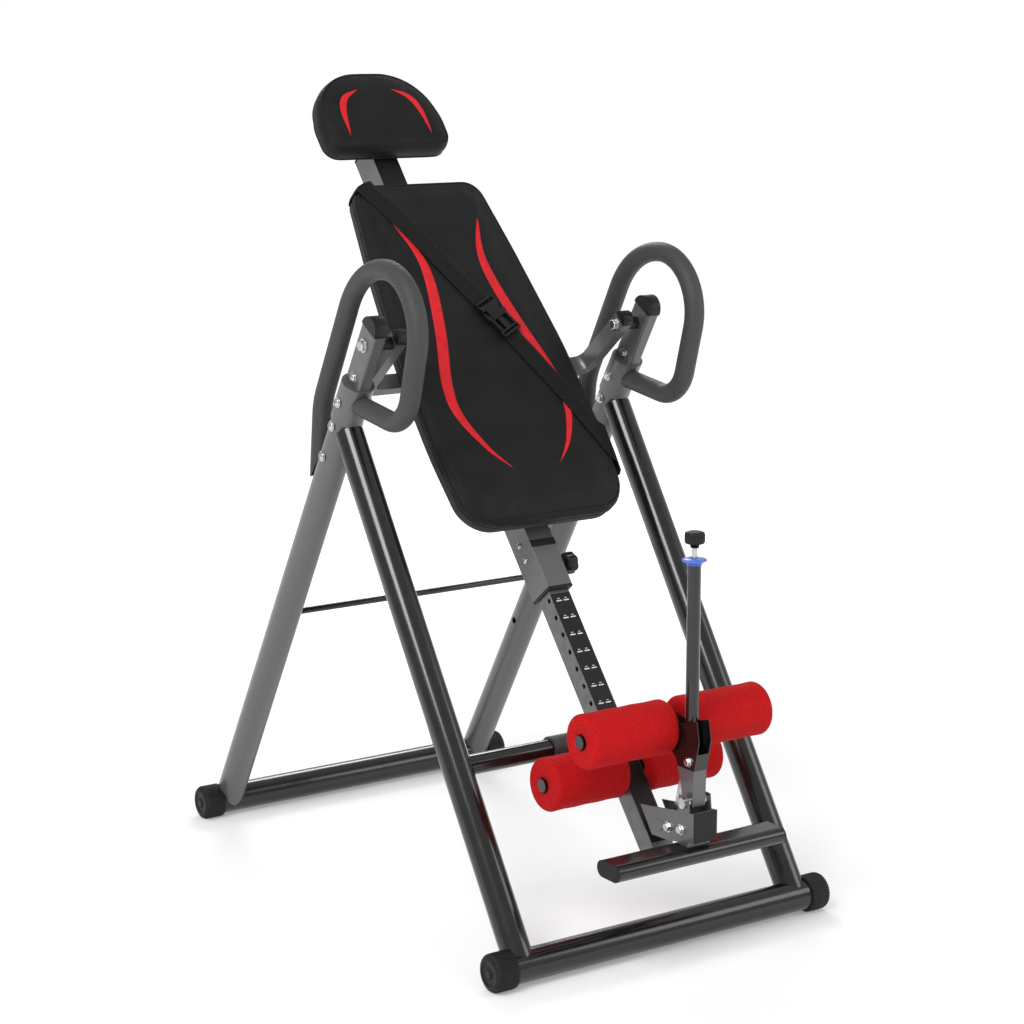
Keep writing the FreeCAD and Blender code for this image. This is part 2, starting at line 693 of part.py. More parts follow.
def rail():
    wide = d["rail_width"] / 2
    deep = d["rail_depth"] / 2
    wall = d["rail_wall"]
    middle = d["slide_axis"]
    length = "dims.rail_high - dims.rail_low"
    outer = block("rail_outer", BED, (-wide, middle - deep, d["rail_low"]), "dims.rail_width",
                  "dims.rail_depth", length)
    inner = block("rail_inner", BED, (-wide + wall, middle - deep + wall, d["rail_low"]),
                  "dims.rail_width - 2 * dims.rail_wall", "dims.rail_depth - 2 * dims.rail_wall",
                  length)
    axle_hole = rod_across("rail_axle_hole", -60, d["rear_axle_through"], d["rear_axle_along"],
                           "dims.axle_dia", "120", BED)
    holes = [rod_across(f"rail_hole{number}", -60, d["knob_through"],
                        d["knob_along"] - number * d["rail_hole_pitch"], "dims.rail_hole_dia",
                        "120", BED) for number in range(9)]
    node(cut("rail", outer, inner, axle_hole, *holes), "height_rail")
    plug = block("rail_plug", BED, (-wide, middle - deep, d["rail_low"] - d["cap_skin"]),
                 "dims.rail_width", "dims.rail_depth", "dims.cap_skin")
    node(plug, "rail_end_cap")


def roller(label, start, length, y, z, frame=None):
    foam = rod_across(label + "_foam", start, y, z, "dims.roller_dia", length, frame)
    bore = rod_across(label + "_bore", start, y, z, "dims.axle_dia + 2 * dims.running_gap",
                      length, frame)
    node(cut(label, foam, bore), label)


def axle(label, reach, y, z, frame=None):
    """Rod across with a flat button on each end."""
    shaft = rod_across(label + "_shaft", -reach, y, z, "dims.axle_dia", f"{2 * reach}", frame)
    ends = [rod_across(f"{label}_end{number}", start, y, z, "dims.axle_dia + 8",
                       "dims.cap_skin", frame)
            for number, start in enumerate((-reach - d["cap_skin"], reach))]
    node(fuse(label, shaft, *ends), label)


def rear_rollers():
    through = d["rear_axle_through"]
    along = d["rear_axle_along"]
    start = d["rear_roller_start"]
    length = d["rear_roller_length"]
    axle("rear_roller_axle", start + length + 0.5, through, along, BED)
    roller("rear_roller_left", -start - length, "dims.rear_roller_length", through, along, BED)
    roller("rear_roller_right", start, "dims.rear_roller_length", through, along, BED)


def foot_bar():
    y = d["foot_bar_y"]
    z = d["foot_bar_z"]
    half_y = d["foot_bar_depth"] / 2
    half_z = d["foot_bar_height"] / 2

    def oval(name, trim, length, x=0):
        points = [(y - half_y + trim, z - half_z + trim), (y + half_y - trim, z - half_z + trim),
                  (y + half_y - trim, z + half_z - trim), (y - half_y + trim, z + half_z - trim)]
        return side_prism(name, points, half_z - trim - 0.01, length, x)

    outer = oval("foot_outer", 0, "dims.foot_bar_length")
    inner = oval("foot_inner", d["tube_wall"], "dims.foot_bar_length + 10")
    node(cut("foot", outer, inner), "foot_bar")
    reach = (d["foot_bar_length"] + d["cap_skin"]) / 2
    caps = [oval(f"foot_cap_{name}", 0, "dims.cap_skin", side * reach) for name, side in SIDES]
    node(group("foot_caps", caps), "foot_bar_caps")


def bracket_bottom(y):
    """Height of the ankle bracket's underside in front of its bend."""
    return 205 + (-557 - y) * (218 - 205) / (621 - 557)


def ankle_bracket():
    shell = side_prism("bracket_shell",
                       [(-477, 246), (-578, 262), (-580, 291), (-606, 291), (-609, 266),
                        (-620, 268), (-621, 218), (-557, 205), (-510, 202)],
                       0, "dims.bracket_width")
    hollow = side_prism("bracket_hollow",
                        [(-460, 310), (-617, 310), (-617.5, 220.5), (-557, 208), (-500, 204.5),
                         (-460, 204)],
                        0, "dims.bracket_width - 2 * dims.bracket_wall")
    pivot = rod_across("bracket_pivot", -60, d["lever_pivot_y"], d["lever_pivot_z"],
                       "dims.lever_pin_dia", "120")
    bolts = [rod_across(f"bracket_hole{number}", -60, y, z, "dims.bolt_dia", "120")
             for number, (y, z) in enumerate(BRACKET_BOLTS)]
    node(cut("bracket", shell, hollow, pivot, *bolts), "ankle_bracket")
    top = d["foot_bar_z"] + d["foot_bar_height"] / 2
    front = d["foot_bar_y"] - 14
    rear = d["foot_bar_y"] + 14
    saddle = side_prism("saddle", [(front, top), (rear, top), (rear, bracket_bottom(rear)),
                                   (front, bracket_bottom(front))], 0, "dims.bracket_width")
    node(saddle, "foot_bar_saddle")
    plate = side_prism("ratchet_blank",
                       [(-590, 322), (-583, 315), (-574, 321), (-555, 305), (-545, 262),
                        (-545, 212), (-568, 212), (-568, 262), (-588, 303)],
                       0, "dims.ratchet_thick")
    around = rod_across("ratchet_gap", -20, d["lever_pivot_y"], d["lever_pivot_z"], "52", "40")
    bolts = [rod_across(f"ratchet_hole{number}", -20, y, z, "dims.bolt_dia", "40")
             for number, (y, z) in enumerate(BRACKET_BOLTS)]
    node(cut("ratchet", plate, around, *bolts), "ratchet_plate")


BRACKET_BOLTS = ((-554, 228), (-588, 233))


def bracket_fasteners():
    half = d["bracket_width"] / 2
    inside = half - d["bracket_wall"]
    bolts = []
    for number, (y, z) in enumerate(BRACKET_BOLTS):
        shaft = rod_across(f"bracket_shaft{number}", -half, y, z, "dims.bolt_dia",
                           "dims.bracket_width")
        heads = [rod_across(f"bracket_head{number}{end}", start, y, z, "14", "4")
                 for end, start in enumerate((-half - 4, half))]
        bolts.append(fuse(f"bracket_bolt{number}", shaft, *heads))
    node(group("bracket_bolt_pair", bolts), "bracket_bolts")
    y = d["lever_pivot_y"]
    z = d["lever_pivot_z"]
    shaft = rod_across("pin_shaft", -half, y, z, "dims.lever_pin_dia", "dims.bracket_width")
    heads = [rod_across(f"pin_head{end}", start, y, z, "18", "4")
             for end, start in enumerate((-half - 4, half))]
    gap = d["channel_width"] / 2 + 0.4
    spacers = [rod_across(f"pin_spacer{end}", start, y, z, "18", f"{inside - gap}")
               for end, start in enumerate((-inside, gap))]
    node(fuse("lever_pin", shaft, *heads, *spacers), "lever_pivot_pin")


def rail_pieces():
    rail()
    rear_rollers()
    foot_bar()
    ankle_bracket()
    bracket_fasteners()


def height_knob():
    through = d["knob_through"]
    along = d["knob_along"]
    inner = d["rail_width"] / 2 + 0.5
    outer = d["beam_width"] / 2 + 13
    pin = rod_across("pin", inner, through, along, "dims.pin_dia", f"{outer - inner + 14}", BED)
    node(pin, "height_pin")
    round_knob = rod_across("knob_round", outer, through, along, "dims.knob_dia", "22", BED)
    lobes = []
    for number in range(6):
        turn = math.radians(60 * number)
        radius = d["knob_dia"] / 2 + 3
        lobes.append(rod_across(f"knob_lobe{number}", outer - 1, through + radius * math.cos(turn),
                                along + radius * math.sin(turn), "14", "24", BED))
    socket = rod_across("knob_socket", inner, through, along, "dims.pin_dia",
                        f"{outer - inner + 14}", BED)
    node(cut("knob", round_knob, socket, *lobes), "height_knob")


# ---------------------------------------------------------------- ankle lever

def lever_channel():
    shell = side_prism("channel_shell",
                       [(-604, 270), (-580, 266), (-572, 308), (-559, 345), (-524, 371),
                        (-512, 390), (-519, 408), (-563, 404), (-612, 418), (-618, 383),
                        (-606, 332)],
                       4, "dims.channel_width")
    hollow = side_prism("channel_hollow",
                        [(-600, 255), (-500, 255), (-500, 430), (-700, 430), (-700, 362),
                         (-610, 362), (-602.5, 332)],
                        0, "dims.channel_width - 2 * dims.channel_wall")
    pivot = rod_across("channel_pivot", -60, d["lever_pivot_y"], d["lever_pivot_z"],
                       "dims.lever_pin_dia + 2 * dims.running_gap", "120")
    axle_hole = rod_across("channel_axle", -60, d["front_axle_y"], d["front_axle_z"],
                           "dims.axle_dia", "120")
    above = block("channel_above", Placement(), (-50, -700, d["clamp_low"]), "100", "400", "200")
    below = block("channel_below", Placement(), (-50, -700, d["clamp_low"] - 200), "100", "400",
                  "200")
    node(cut("link", shell, hollow, pivot, above), "lever_link")
    node(cut("clamp", shell, hollow, axle_hole, below), "lever_clamp")


def lever_pieces():
    lever_channel()
    low = world(0, d["lever_tube_y"], d["lever_tube_low"])
    length = "dims.lever_tube_high - dims.lever_tube_low"
    outer = rod("lever_outer", Placement(low, Rotation()), "dims.lever_tube_dia", length)
    bore = rod("lever_bore", Placement(low, Rotation()),
               "dims.lever_tube_dia - 2 * dims.tube_wall", length)
    node(cut("lever", outer, bore), "lever_tube")
    top = world(0, d["lever_tube_y"], d["lever_tube_high"])
    disc = rod("disc_round", Placement(top, Rotation()), "dims.lever_disc_dia",
               "dims.lever_disc_thick")
    hole = rod("disc_hole", Placement(top, Rotation()),
               "dims.release_rod_dia + 2 * dims.running_gap", "dims.lever_disc_thick")
    node(cut("disc", disc, hole), "lever_disc")
    reach = d["front_roller_start"] + d["front_roller_length"] + 0.5
    axle("front_roller_axle", reach, d["front_axle_y"], d["front_axle_z"])
    start = d["front_roller_start"]
    length_now = d["front_roller_length"]
    roller("front_roller_left", -start - length_now, "dims.front_roller_length",
           d["front_axle_y"], d["front_axle_z"])
    roller("front_roller_right", start, "dims.front_roller_length", d["front_axle_y"],
           d["front_axle_z"])
    rod_low = world(0, d["lever_tube_y"], 600)
    node(rod("rod", Placement(rod_low, Rotation()), "dims.release_rod_dia",
             "dims.release_knob_low - 600"), "release_rod")
    knob_low = world(0, d["lever_tube_y"], d["release_knob_low"])
    node(rod("top_knob", Placement(knob_low, Rotation()), "dims.release_knob_dia",
             "dims.release_knob_rise"), "release_knob")


frame_pieces()
bed_pieces()
headrest()
rail_pieces()
height_knob()
lever_pieces()
doc.recompute()

problems = [f"{item.Label}: {item.State}" for item in doc.Objects
            if "Invalid" in item.State or "Error" in item.State]
problems += [f"{item.Label}: bad shape" for item in NODES
             if item.Shape.isNull() or not item.Shape.isValid() or item.Shape.Volume <= 0]
if problems:
    raise RuntimeError("; ".join(problems))
for item in NODES:
    item.Shape.exportStep(f"parts/{item.Label}.step")

whole = FreeCAD.BoundBox()
for item in NODES:
    whole.add(item.Shape.BoundBox)
print(f"{len(NODES)} nodes, x {whole.XMin:.1f} {whole.XMax:.1f}, y {whole.YMin:.1f} "
      f"{whole.YMax:.1f}, z {whole.ZMin:.1f} {whole.ZMax:.1f}")
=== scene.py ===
import json
import math

import bmesh
import bpy
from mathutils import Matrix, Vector
from mathutils.bvhtree import BVHTree


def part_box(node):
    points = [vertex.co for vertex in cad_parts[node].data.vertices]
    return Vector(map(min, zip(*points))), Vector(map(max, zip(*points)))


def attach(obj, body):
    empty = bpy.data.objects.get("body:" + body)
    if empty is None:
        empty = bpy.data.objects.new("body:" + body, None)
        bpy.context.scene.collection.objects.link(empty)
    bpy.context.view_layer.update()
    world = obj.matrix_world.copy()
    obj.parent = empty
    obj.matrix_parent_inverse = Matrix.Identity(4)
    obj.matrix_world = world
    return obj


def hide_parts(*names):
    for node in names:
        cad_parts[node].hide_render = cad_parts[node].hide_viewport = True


# Looks of the inversion table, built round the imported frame. Metres throughout.
# The bed's own directions are ACROSS (to the person's right), BACK (through the bed) and UP
# (towards the head), from the axis that the bed turns on.

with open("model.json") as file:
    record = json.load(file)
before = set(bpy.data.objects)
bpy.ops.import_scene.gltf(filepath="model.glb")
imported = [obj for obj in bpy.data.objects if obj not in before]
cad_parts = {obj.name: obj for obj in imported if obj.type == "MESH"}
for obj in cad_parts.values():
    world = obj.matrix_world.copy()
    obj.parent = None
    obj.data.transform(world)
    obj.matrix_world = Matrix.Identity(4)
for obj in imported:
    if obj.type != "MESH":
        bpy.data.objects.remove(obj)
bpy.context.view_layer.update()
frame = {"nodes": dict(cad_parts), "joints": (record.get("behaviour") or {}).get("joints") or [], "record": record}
JOINTS = {joint["name"]: joint for joint in frame["joints"]}
NODES = frame["nodes"]

PIVOT = Vector(JOINTS["bed_tilt"]["pos_m"])
ACROSS = Vector((1, 0, 0))
UP = Vector(JOINTS["headrest_slide"]["axis"]).normalized()
BACK = UP.cross(ACROSS)

# Sizes that the solids don't give.
PAD_VOXEL = 0.0055
PAD_GROWTH = 0.0025
PAD_CROWN = 0.010
SEAM_DEPTH = 0.018
CLOTH_FRAMES = 20
BACK_SWELL = 0.0028
HEAD_SWELL = 0.0008
FRONT_CORD = 0.0021
REAR_CORD = 0.0018
CORD_FRONT_DEPTH = 0.010
CORD_REAR_DEPTH = 0.006
STRAP_HALF_THICK = 0.0009
STRAP_CLEAR = 0.0017
FRAME_HEAD_RISE = 0.005
BRACKET_HEAD_RISE = 0.004
PIVOT_HEAD_RISE = 0.006
RAIL_STRIP_TOP = -0.432
RAIL_STRIP_LOW = -0.900
RAIL_HOLES = 9
RAIL_PITCH = 0.033
BEAM_FRONT = 0.148


def bed(x, back, up):
    """The point at x across, back and up from the bed's axis."""
    return PIVOT + ACROSS * x + BACK * back + UP * up


def bed_box(node):
    """Lowest and highest (across, back, up) of a CAD node."""
    spots = [NODES[node].matrix_world @ v.co - PIVOT for v in NODES[node].data.vertices]
    rows = [[spot.dot(way) for spot in spots] for way in (ACROSS, BACK, UP)]
    return [min(row) for row in rows], [max(row) for row in rows]


# ---------------------------------------------------------------- materials

class Shader:
    """A material whose nodes are added one by one."""

    def __init__(self, name, color, rough, metal=0.0, coat=0.0, sheen=0.0, shine=0.5):
        self.material = bpy.data.materials.new(name)
        self.material.use_nodes = True
        self.nodes = self.material.node_tree.nodes
        self.links = self.material.node_tree.links
        self.out = self.nodes["Principled BSDF"]
        self.out.inputs["Base Color"].default_value = (*color, 1)
        self.out.inputs["Roughness"].default_value = rough
        self.out.inputs["Metallic"].default_value = metal
        self.out.inputs["Specular IOR Level"].default_value = shine
        self.out.inputs["Coat Weight"].default_value = coat
        self.out.inputs["Coat Roughness"].default_value = 0.12
        self.out.inputs["Sheen Weight"].default_value = sheen
        self.out.inputs["Sheen Roughness"].default_value = 0.4
        self.place = self.nodes.new("ShaderNodeTexCoord").outputs["Object"]
        self.height = None

    def noise(self, scale, detail=3.0):
        node = self.nodes.new("ShaderNodeTexNoise")
        node.inputs["Scale"].default_value = scale
        node.inputs["Detail"].default_value = detail
        self.links.new(self.place, node.inputs["Vector"])
        return node.outputs["Fac"]

    def cells(self, scale):
        node = self.nodes.new("ShaderNodeTexVoronoi")
        node.inputs["Scale"].default_value = scale
        self.links.new(self.place, node.inputs["Vector"])
        return node.outputs["Distance"]

    def waves(self, scale, way):
        node = self.nodes.new("ShaderNodeTexWave")
        node.bands_direction = way
        node.inputs["Scale"].default_value = scale
        self.links.new(self.place, node.inputs["Vector"])
        return node.outputs["Fac"]

    def ramp(self, value, low, high, start=0.35, end=0.65):
        node = self.nodes.new("ShaderNodeValToRGB")
        node.color_ramp.elements[0].position = start
        node.color_ramp.elements[1].position = end
        node.color_ramp.elements[0].color = (*low, 1)
        node.color_ramp.elements[1].color = (*high, 1)
        self.links.new(value, node.inputs["Fac"])
        return node.outputs["Color"]

    def times(self, first, second):
        node = self.nodes.new("ShaderNodeMath")
        node.operation = "MULTIPLY"
        self.links.new(first, node.inputs[0])
        self.links.new(second, node.inputs[1])
        return node.outputs[0]

    def paint(self, value, low, high, start=0.35, end=0.65):
        """Colour that varies between low and high."""
        self.links.new(self.ramp(value, low, high, start, end), self.out.inputs["Base Color"])

    def roughen(self, value, low, high):
        node = self.nodes.new("ShaderNodeMapRange")
        node.inputs["To Min"].default_value = low
        node.inputs["To Max"].default_value = high
        self.links.new(value, node.inputs["Value"])
        self.links.new(node.outputs["Result"], self.out.inputs["Roughness"])

    def bump(self, value, depth, strength=1.0):
        node = self.nodes.new("ShaderNodeBump")
        node.inputs["Distance"].default_value = depth
        node.inputs["Strength"].default_value = strength
        self.links.new(value, node.inputs["Height"])
        if self.height:
            self.links.new(self.height, node.inputs["Normal"])
        self.height = node.outputs["Normal"]
        self.links.new(self.height, self.out.inputs["Normal"])


def gray(level):
    return (level, level, level * 1.03)


def gloss_black():
    """Black powder coat: orange-peel gloss with faint rub marks."""
    look = Shader("gloss_black", gray(0.005), 0.2, coat=0.5, shine=0.35)
    look.paint(look.noise(60, 6), gray(0.004), gray(0.008))
    look.roughen(look.noise(14, 5), 0.14, 0.30)
    look.bump(look.noise(900, 2), 0.00006)
    return look.material


def grey_paint():
    """Satin grey metallic powder coat with a fine fleck."""
    look = Shader("grey_paint", gray(0.11), 0.4, metal=0.45, coat=0.35)
    look.paint(look.noise(1500, 1), gray(0.095), gray(0.145))
    look.roughen(look.noise(20, 5), 0.32, 0.46)
    look.bump(look.noise(1100, 2), 0.00005)
    return look.material


def rail_paint():
    look = Shader("rail_steel", gray(0.12), 0.35, metal=0.4, coat=0.2)
    look.paint(look.noise(40, 6), gray(0.10), gray(0.14))
    look.roughen(look.noise(25, 6), 0.28, 0.42)
    look.bump(look.noise(1000, 2), 0.00004)
    return look.material


def bright_steel():
    """Zinc-plated steel."""
    look = Shader("bright_steel", gray(0.55), 0.28, metal=1.0)
    look.paint(look.noise(120, 5), gray(0.42), gray(0.66))
    look.roughen(look.noise(60, 5), 0.18, 0.36)
    look.bump(look.noise(700, 3), 0.00003)
    return look.material


def black_plastic(name="black_plastic"):
    """Moulded plastic with a fine spark-eroded grain."""
    look = Shader(name, gray(0.006), 0.42, shine=0.3)
    look.paint(look.noise(30, 5), gray(0.005), gray(0.009))
    look.roughen(look.noise(90, 4), 0.36, 0.5)
    look.bump(look.cells(1800), 0.00006)
    return look.material


def cap_rubber():
    look = Shader("rubber_black", gray(0.006), 0.5, shine=0.3)
    look.paint(look.noise(70, 6), gray(0.004), gray(0.009))
    look.roughen(look.noise(150, 4), 0.42, 0.6)
    look.bump(look.noise(800, 4), 0.0001)
    return look.material


def grip_foam():
    """Dark grey closed-cell foam: matt skin with tiny pores."""
    look = Shader("grip_foam", gray(0.045), 0.55, shine=0.4)
    look.paint(look.noise(500, 4), gray(0.036), gray(0.052))
    look.roughen(look.noise(40, 4), 0.46, 0.6)
    look.bump(look.cells(1400), 0.00018)
    look.bump(look.noise(260, 4), 0.0002)
    return look.material


def roller_foam():
    """Bright red foam with an open, grainy skin."""
    look = Shader("roller_foam", (0.5, 0.006, 0.008), 0.85, shine=0.15)
    look.paint(look.noise(420, 5), (0.36, 0.003, 0.005), (0.60, 0.008, 0.010), 0.3, 0.7)
    look.roughen(look.noise(120, 4), 0.7, 0.92)
    look.bump(look.cells(650), 0.0006, 0.7)
    look.bump(look.noise(300, 5), 0.0006, 0.7)
    return look.material


def weave(look, threads, depth):
    """Plain weave from crossed bands."""
    across = look.waves(threads, "X")
    along = look.waves(threads, "Z")
    look.bump(look.times(across, along), depth)


def pad_fabric():
    """Black coated nylon: close weave, soft sheen, slight unevenness where it is pulled tight."""
    look = Shader("pad_fabric", gray(0.005), 0.5, sheen=0.02, shine=0.22)
    look.paint(look.noise(18, 6), gray(0.004), gray(0.007))
    look.roughen(look.noise(30, 5), 0.44, 0.6)
    weave(look, 260, 0.00012)
    look.bump(look.noise(35, 3), 0.0006)
    return look.material


def stripe_fabric():
    look = Shader("stripe_red", (0.62, 0.008, 0.014), 0.5, shine=0.3)
    look.paint(look.noise(60, 5), (0.56, 0.006, 0.011), (0.66, 0.010, 0.017))
    look.roughen(look.noise(80, 4), 0.42, 0.58)
    weave(look, 260, 0.0001)
    return look.material


def webbing():
    """Tight nylon webbing: ribs across the strap and a finer weave along it."""
    look = Shader("webbing", gray(0.003), 0.6, sheen=0.03, shine=0.2)
    look.paint(look.noise(220, 4), gray(0.002), gray(0.005))
    look.roughen(look.noise(90, 3), 0.5, 0.7)
    weave(look, 170, 0.0004)
    return look.material


def board_back():
    look = Shader("board_wood", gray(0.02), 0.75)
    look.paint(look.noise(240, 6), gray(0.012), gray(0.03))
    look.roughen(look.noise(50, 4), 0.65, 0.85)
    look.bump(look.noise(500, 5), 0.0003)
    return look.material


def blue_plastic():
    look = Shader("disc_blue", (0.06, 0.16, 0.65), 0.25, coat=0.3)
    look.paint(look.noise(50, 4), (0.05, 0.14, 0.6), (0.08, 0.19, 0.72))
    look.roughen(look.noise(120, 3), 0.2, 0.32)
    look.bump(look.noise(900, 2), 0.00004)
    return look.material


def print_white():
    look = Shader("scale_print", (0.75, 0.75, 0.75), 0.5)
    look.paint(look.noise(300, 4), (0.6, 0.6, 0.6), (0.8, 0.8, 0.8))
    look.roughen(look.noise(200, 3), 0.45, 0.6)
    return look.material


LOOKS = {
    "gloss_black": gloss_black(), "grey_paint": grey_paint(), "rail_steel": rail_paint(),
    "bright_steel": bright_steel(), "black_plastic": black_plastic(),
    "rubber_black": cap_rubber(), "grip_foam": grip_foam(), "roller_foam": roller_foam(),
    "pad_fabric": pad_fabric(), "webbing": webbing(), "board_wood": board_back(),
    "disc_blue": blue_plastic(), "stripe": stripe_fabric(), "print": print_white(),
}


# ---------------------------------------------------------------- building pieces

def add(name, verts, faces, look, body, smooth=True):
    """A mesh piece that rides on a body."""
    mesh = bpy.data.meshes.new(name)
    mesh.from_pydata([tuple(v) for v in verts], [], faces)
    mesh.update()
    work = bmesh.new()
    work.from_mesh(mesh)
    bmesh.ops.remove_doubles(work, verts=work.verts, dist=1e-6)
    bmesh.ops.recalc_face_normals(work, faces=work.faces)
    work.to_mesh(mesh)
    work.free()
    piece = bpy.data.objects.new(name, mesh)
    bpy.context.scene.collection.objects.link(piece)
    return dress(piece, look, body, smooth)


def dress(piece, look, body, smooth=True):
    piece.data.materials.clear()
    piece.data.materials.append(LOOKS[look])
    for polygon in piece.data.polygons:
        polygon.use_smooth = smooth
    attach(piece, body)
    return piece


def soften(piece, width, segments=3, angle=35):
    """Rounds a piece's edges."""
    bevel = piece.modifiers.new("edges", "BEVEL")
    bevel.width = width
    bevel.segments = segments
    bevel.limit_method = "ANGLE"
    bevel.angle_limit = math.radians(angle)
    bevel.harden_normals = True
    return piece


def lattice(rows, closed_rows=False, closed_ring=True, base=0):
    """Quads between rows of points of equal length."""
    faces = []
    count = len(rows)
    width = len(rows[0])
    for i in range(count if closed_rows else count - 1):
        for j in range(width if closed_ring else width - 1):
            k = (j + 1) % width
            n = (i + 1) % count
            faces.append((base + i * width + j, base + i * width + k,
                          base + n * width + k, base + n * width + j))
    return faces


def turned(origin, axis, profile, steps=64, ridges=0, ridge=0.0):
    """Points and faces of a lathe form; profile is (along, radius) from end to end."""
    axis = axis.normalized()
    side = axis.orthogonal().normalized()
    other = axis.cross(side)
    rows = []
    for along, radius in profile:
        ring = []
        for j in range(steps):
            turn = 2 * math.pi * j / steps
            wave = max(0.0, math.cos(ridges * turn)) ** 0.6 if ridges and radius > ridge * 4 else 0
            reach = radius - (ridge * (1 - wave) if ridges else 0) * (radius > ridge * 4)
            ring.append(origin + axis * along
                        + (side * math.cos(turn) + other * math.sin(turn)) * reach)
        rows.append(ring)
    return [point for ring in rows for point in ring], lattice(rows)


class Parts:
    """Several forms gathered into one mesh."""

    def __init__(self):
        self.verts = []
        self.faces = []

    def put(self, verts, faces):
        start = len(self.verts)
        self.verts.extend(verts)
        self.faces.extend(tuple(start + index for index in face) for face in faces)

    def block(self, centre, x_way, y_way, z_way, size):
        """A box by its middle, its three directions and its size."""
        corners = []
        for i in (-0.5, 0.5):
            for j in (-0.5, 0.5):
                for k in (-0.5, 0.5):
                    corners.append(centre + x_way * (i * size[0]) + y_way * (j * size[1])
                                   + z_way * (k * size[2]))
        self.put(corners, [(0, 1, 3, 2), (4, 6, 7, 5), (0, 4, 5, 1), (2, 3, 7, 6),
                           (0, 2, 6, 4), (1, 5, 7, 3)])

    def lathe(self, origin, axis, profile, steps=48, ridges=0, ridge=0.0):
        self.put(*turned(origin, axis, profile, steps, ridges, ridge))

    def hexagon(self, origin, axis, across, height):
        """A hexagonal head standing on origin, its corners chamfered."""
        radius = across / math.sqrt(3)
        profile = [(0, 0), (0, radius), (height * 0.8, radius), (height, radius * 0.86),
                   (height, 0)]
        self.put(*turned(origin, axis, profile, 6))

    def hex_end(self, seat, axis, washer, head, steps=32):
        """A washer of (radius, thickness) and a hexagonal head of (width, height) on it."""
        radius, thick = washer
        self.lathe(seat, axis, [(0, 0), (0, radius), (thick, radius), (thick, 0)], steps)
        self.hexagon(seat + axis * thick, axis, *head)

    def shank(self, centre, low, high, radius, steps=24):
        """A bolt's plain shank across, from x = low to x = high."""
        run = high - low
        self.lathe(Vector((low, centre.y, centre.z)), ACROSS,
                   [(0, 0), (0, radius), (run, radius), (run, 0)], steps)

    def add(self, name, look, body, slot=None, smooth=True):
        return add(name, self.verts, self.faces, look, body, smooth)


def rounded(points, radii, step=0.004):
    """Evenly spaced points along a closed outline of straight runs and arcs."""
    dense = []
    count = len(points)
    for i, (point, radius) in enumerate(zip(points, radii)):
        point = Vector(point)
        back = (Vector(points[i - 1]) - point).normalized()
        ahead = (Vector(points[(i + 1) % count]) - point).normalized()
        half = back.angle(ahead) / 2
        reach = radius / math.tan(half)
        middle = (back + ahead).normalized()
        centre = point + middle * (radius / math.sin(half))
        first = point + back * reach - centre
        last = point + ahead * reach - centre
        turn = first.angle_signed(last)
        for k in range(13):
            angle = -turn * k / 12
            spun = Vector((first.x * math.cos(angle) - first.y * math.sin(angle),
                           first.x * math.sin(angle) + first.y * math.cos(angle)))
            dense.append(centre + spun)
    lengths = [0.0]
    for i in range(len(dense)):
        lengths.append(lengths[-1] + (dense[(i + 1) % len(dense)] - dense[i]).length)
    total = lengths[-1]
    number = int(total / step)
    even = []
    index = 0
    for j in range(number):
        target = total * j / number
        while lengths[index + 1] < target:
            index += 1
        part = (target - lengths[index]) / max(lengths[index + 1] - lengths[index], 1e-9)
        even.append(dense[index].lerp(dense[(index + 1) % len(dense)], part))
    return even


def inset(outline, distance):
    """The outline moved inwards."""
    count = len(outline)
    area = sum(outline[i].x * outline[(i + 1) % count].y - outline[(i + 1) % count].x * outline[i].y
               for i in range(count))
    sign = 1 if area > 0 else -1
    moved = []
    for i, point in enumerate(outline):
        run = (outline[(i + 2) % count] - outline[i - 2]).normalized()
        moved.append(point + Vector((-run.y, run.x)) * (sign * distance))
    return moved


# ---------------------------------------------------------------- cushions

def cushion(outline, front, back, crown):
    """A crowned pad: rounded front edge, sides that swell between their seams, flat back."""
    middle = sum(outline, Vector((0, 0))) / len(outline)
    deep = back - front
    rings = [(0.012, back), (0.002, back), (0.0, back - 0.004), (-0.0012, front + deep * 0.5),
             (0.0006, front + 0.010), (0.0022, front + 0.0055), (0.0062, front + 0.0018),
             (0.012, front + 0.0002)]
    rows = [[bed(p.x, level, p.y) for p in inset(outline, distance - PAD_GROWTH)]
            for distance, level in rings]
    last = inset(outline, rings[-1][0] - PAD_GROWTH)
    for share in (0.93, 0.82, 0.66, 0.48, 0.3, 0.12):
        rise = crown * (1 - share ** 2.2)
        spots = [middle + (p - middle) * share for p in last]
        rows.append([bed(p.x, front - rise, p.y) for p in spots])
    verts = [point for row in rows for point in row]
    faces = lattice(rows)
    width = len(outline)
    verts.append(bed(middle.x, front - crown, middle.y))
    verts.append(bed(middle.x, back, middle.y))
    for j in range(width):
        k = (j + 1) % width
        faces.append(((len(rows) - 1) * width + j, (len(rows) - 1) * width + k, len(verts) - 2))
        faces.append((k, j, len(verts) - 1))
    return verts, faces


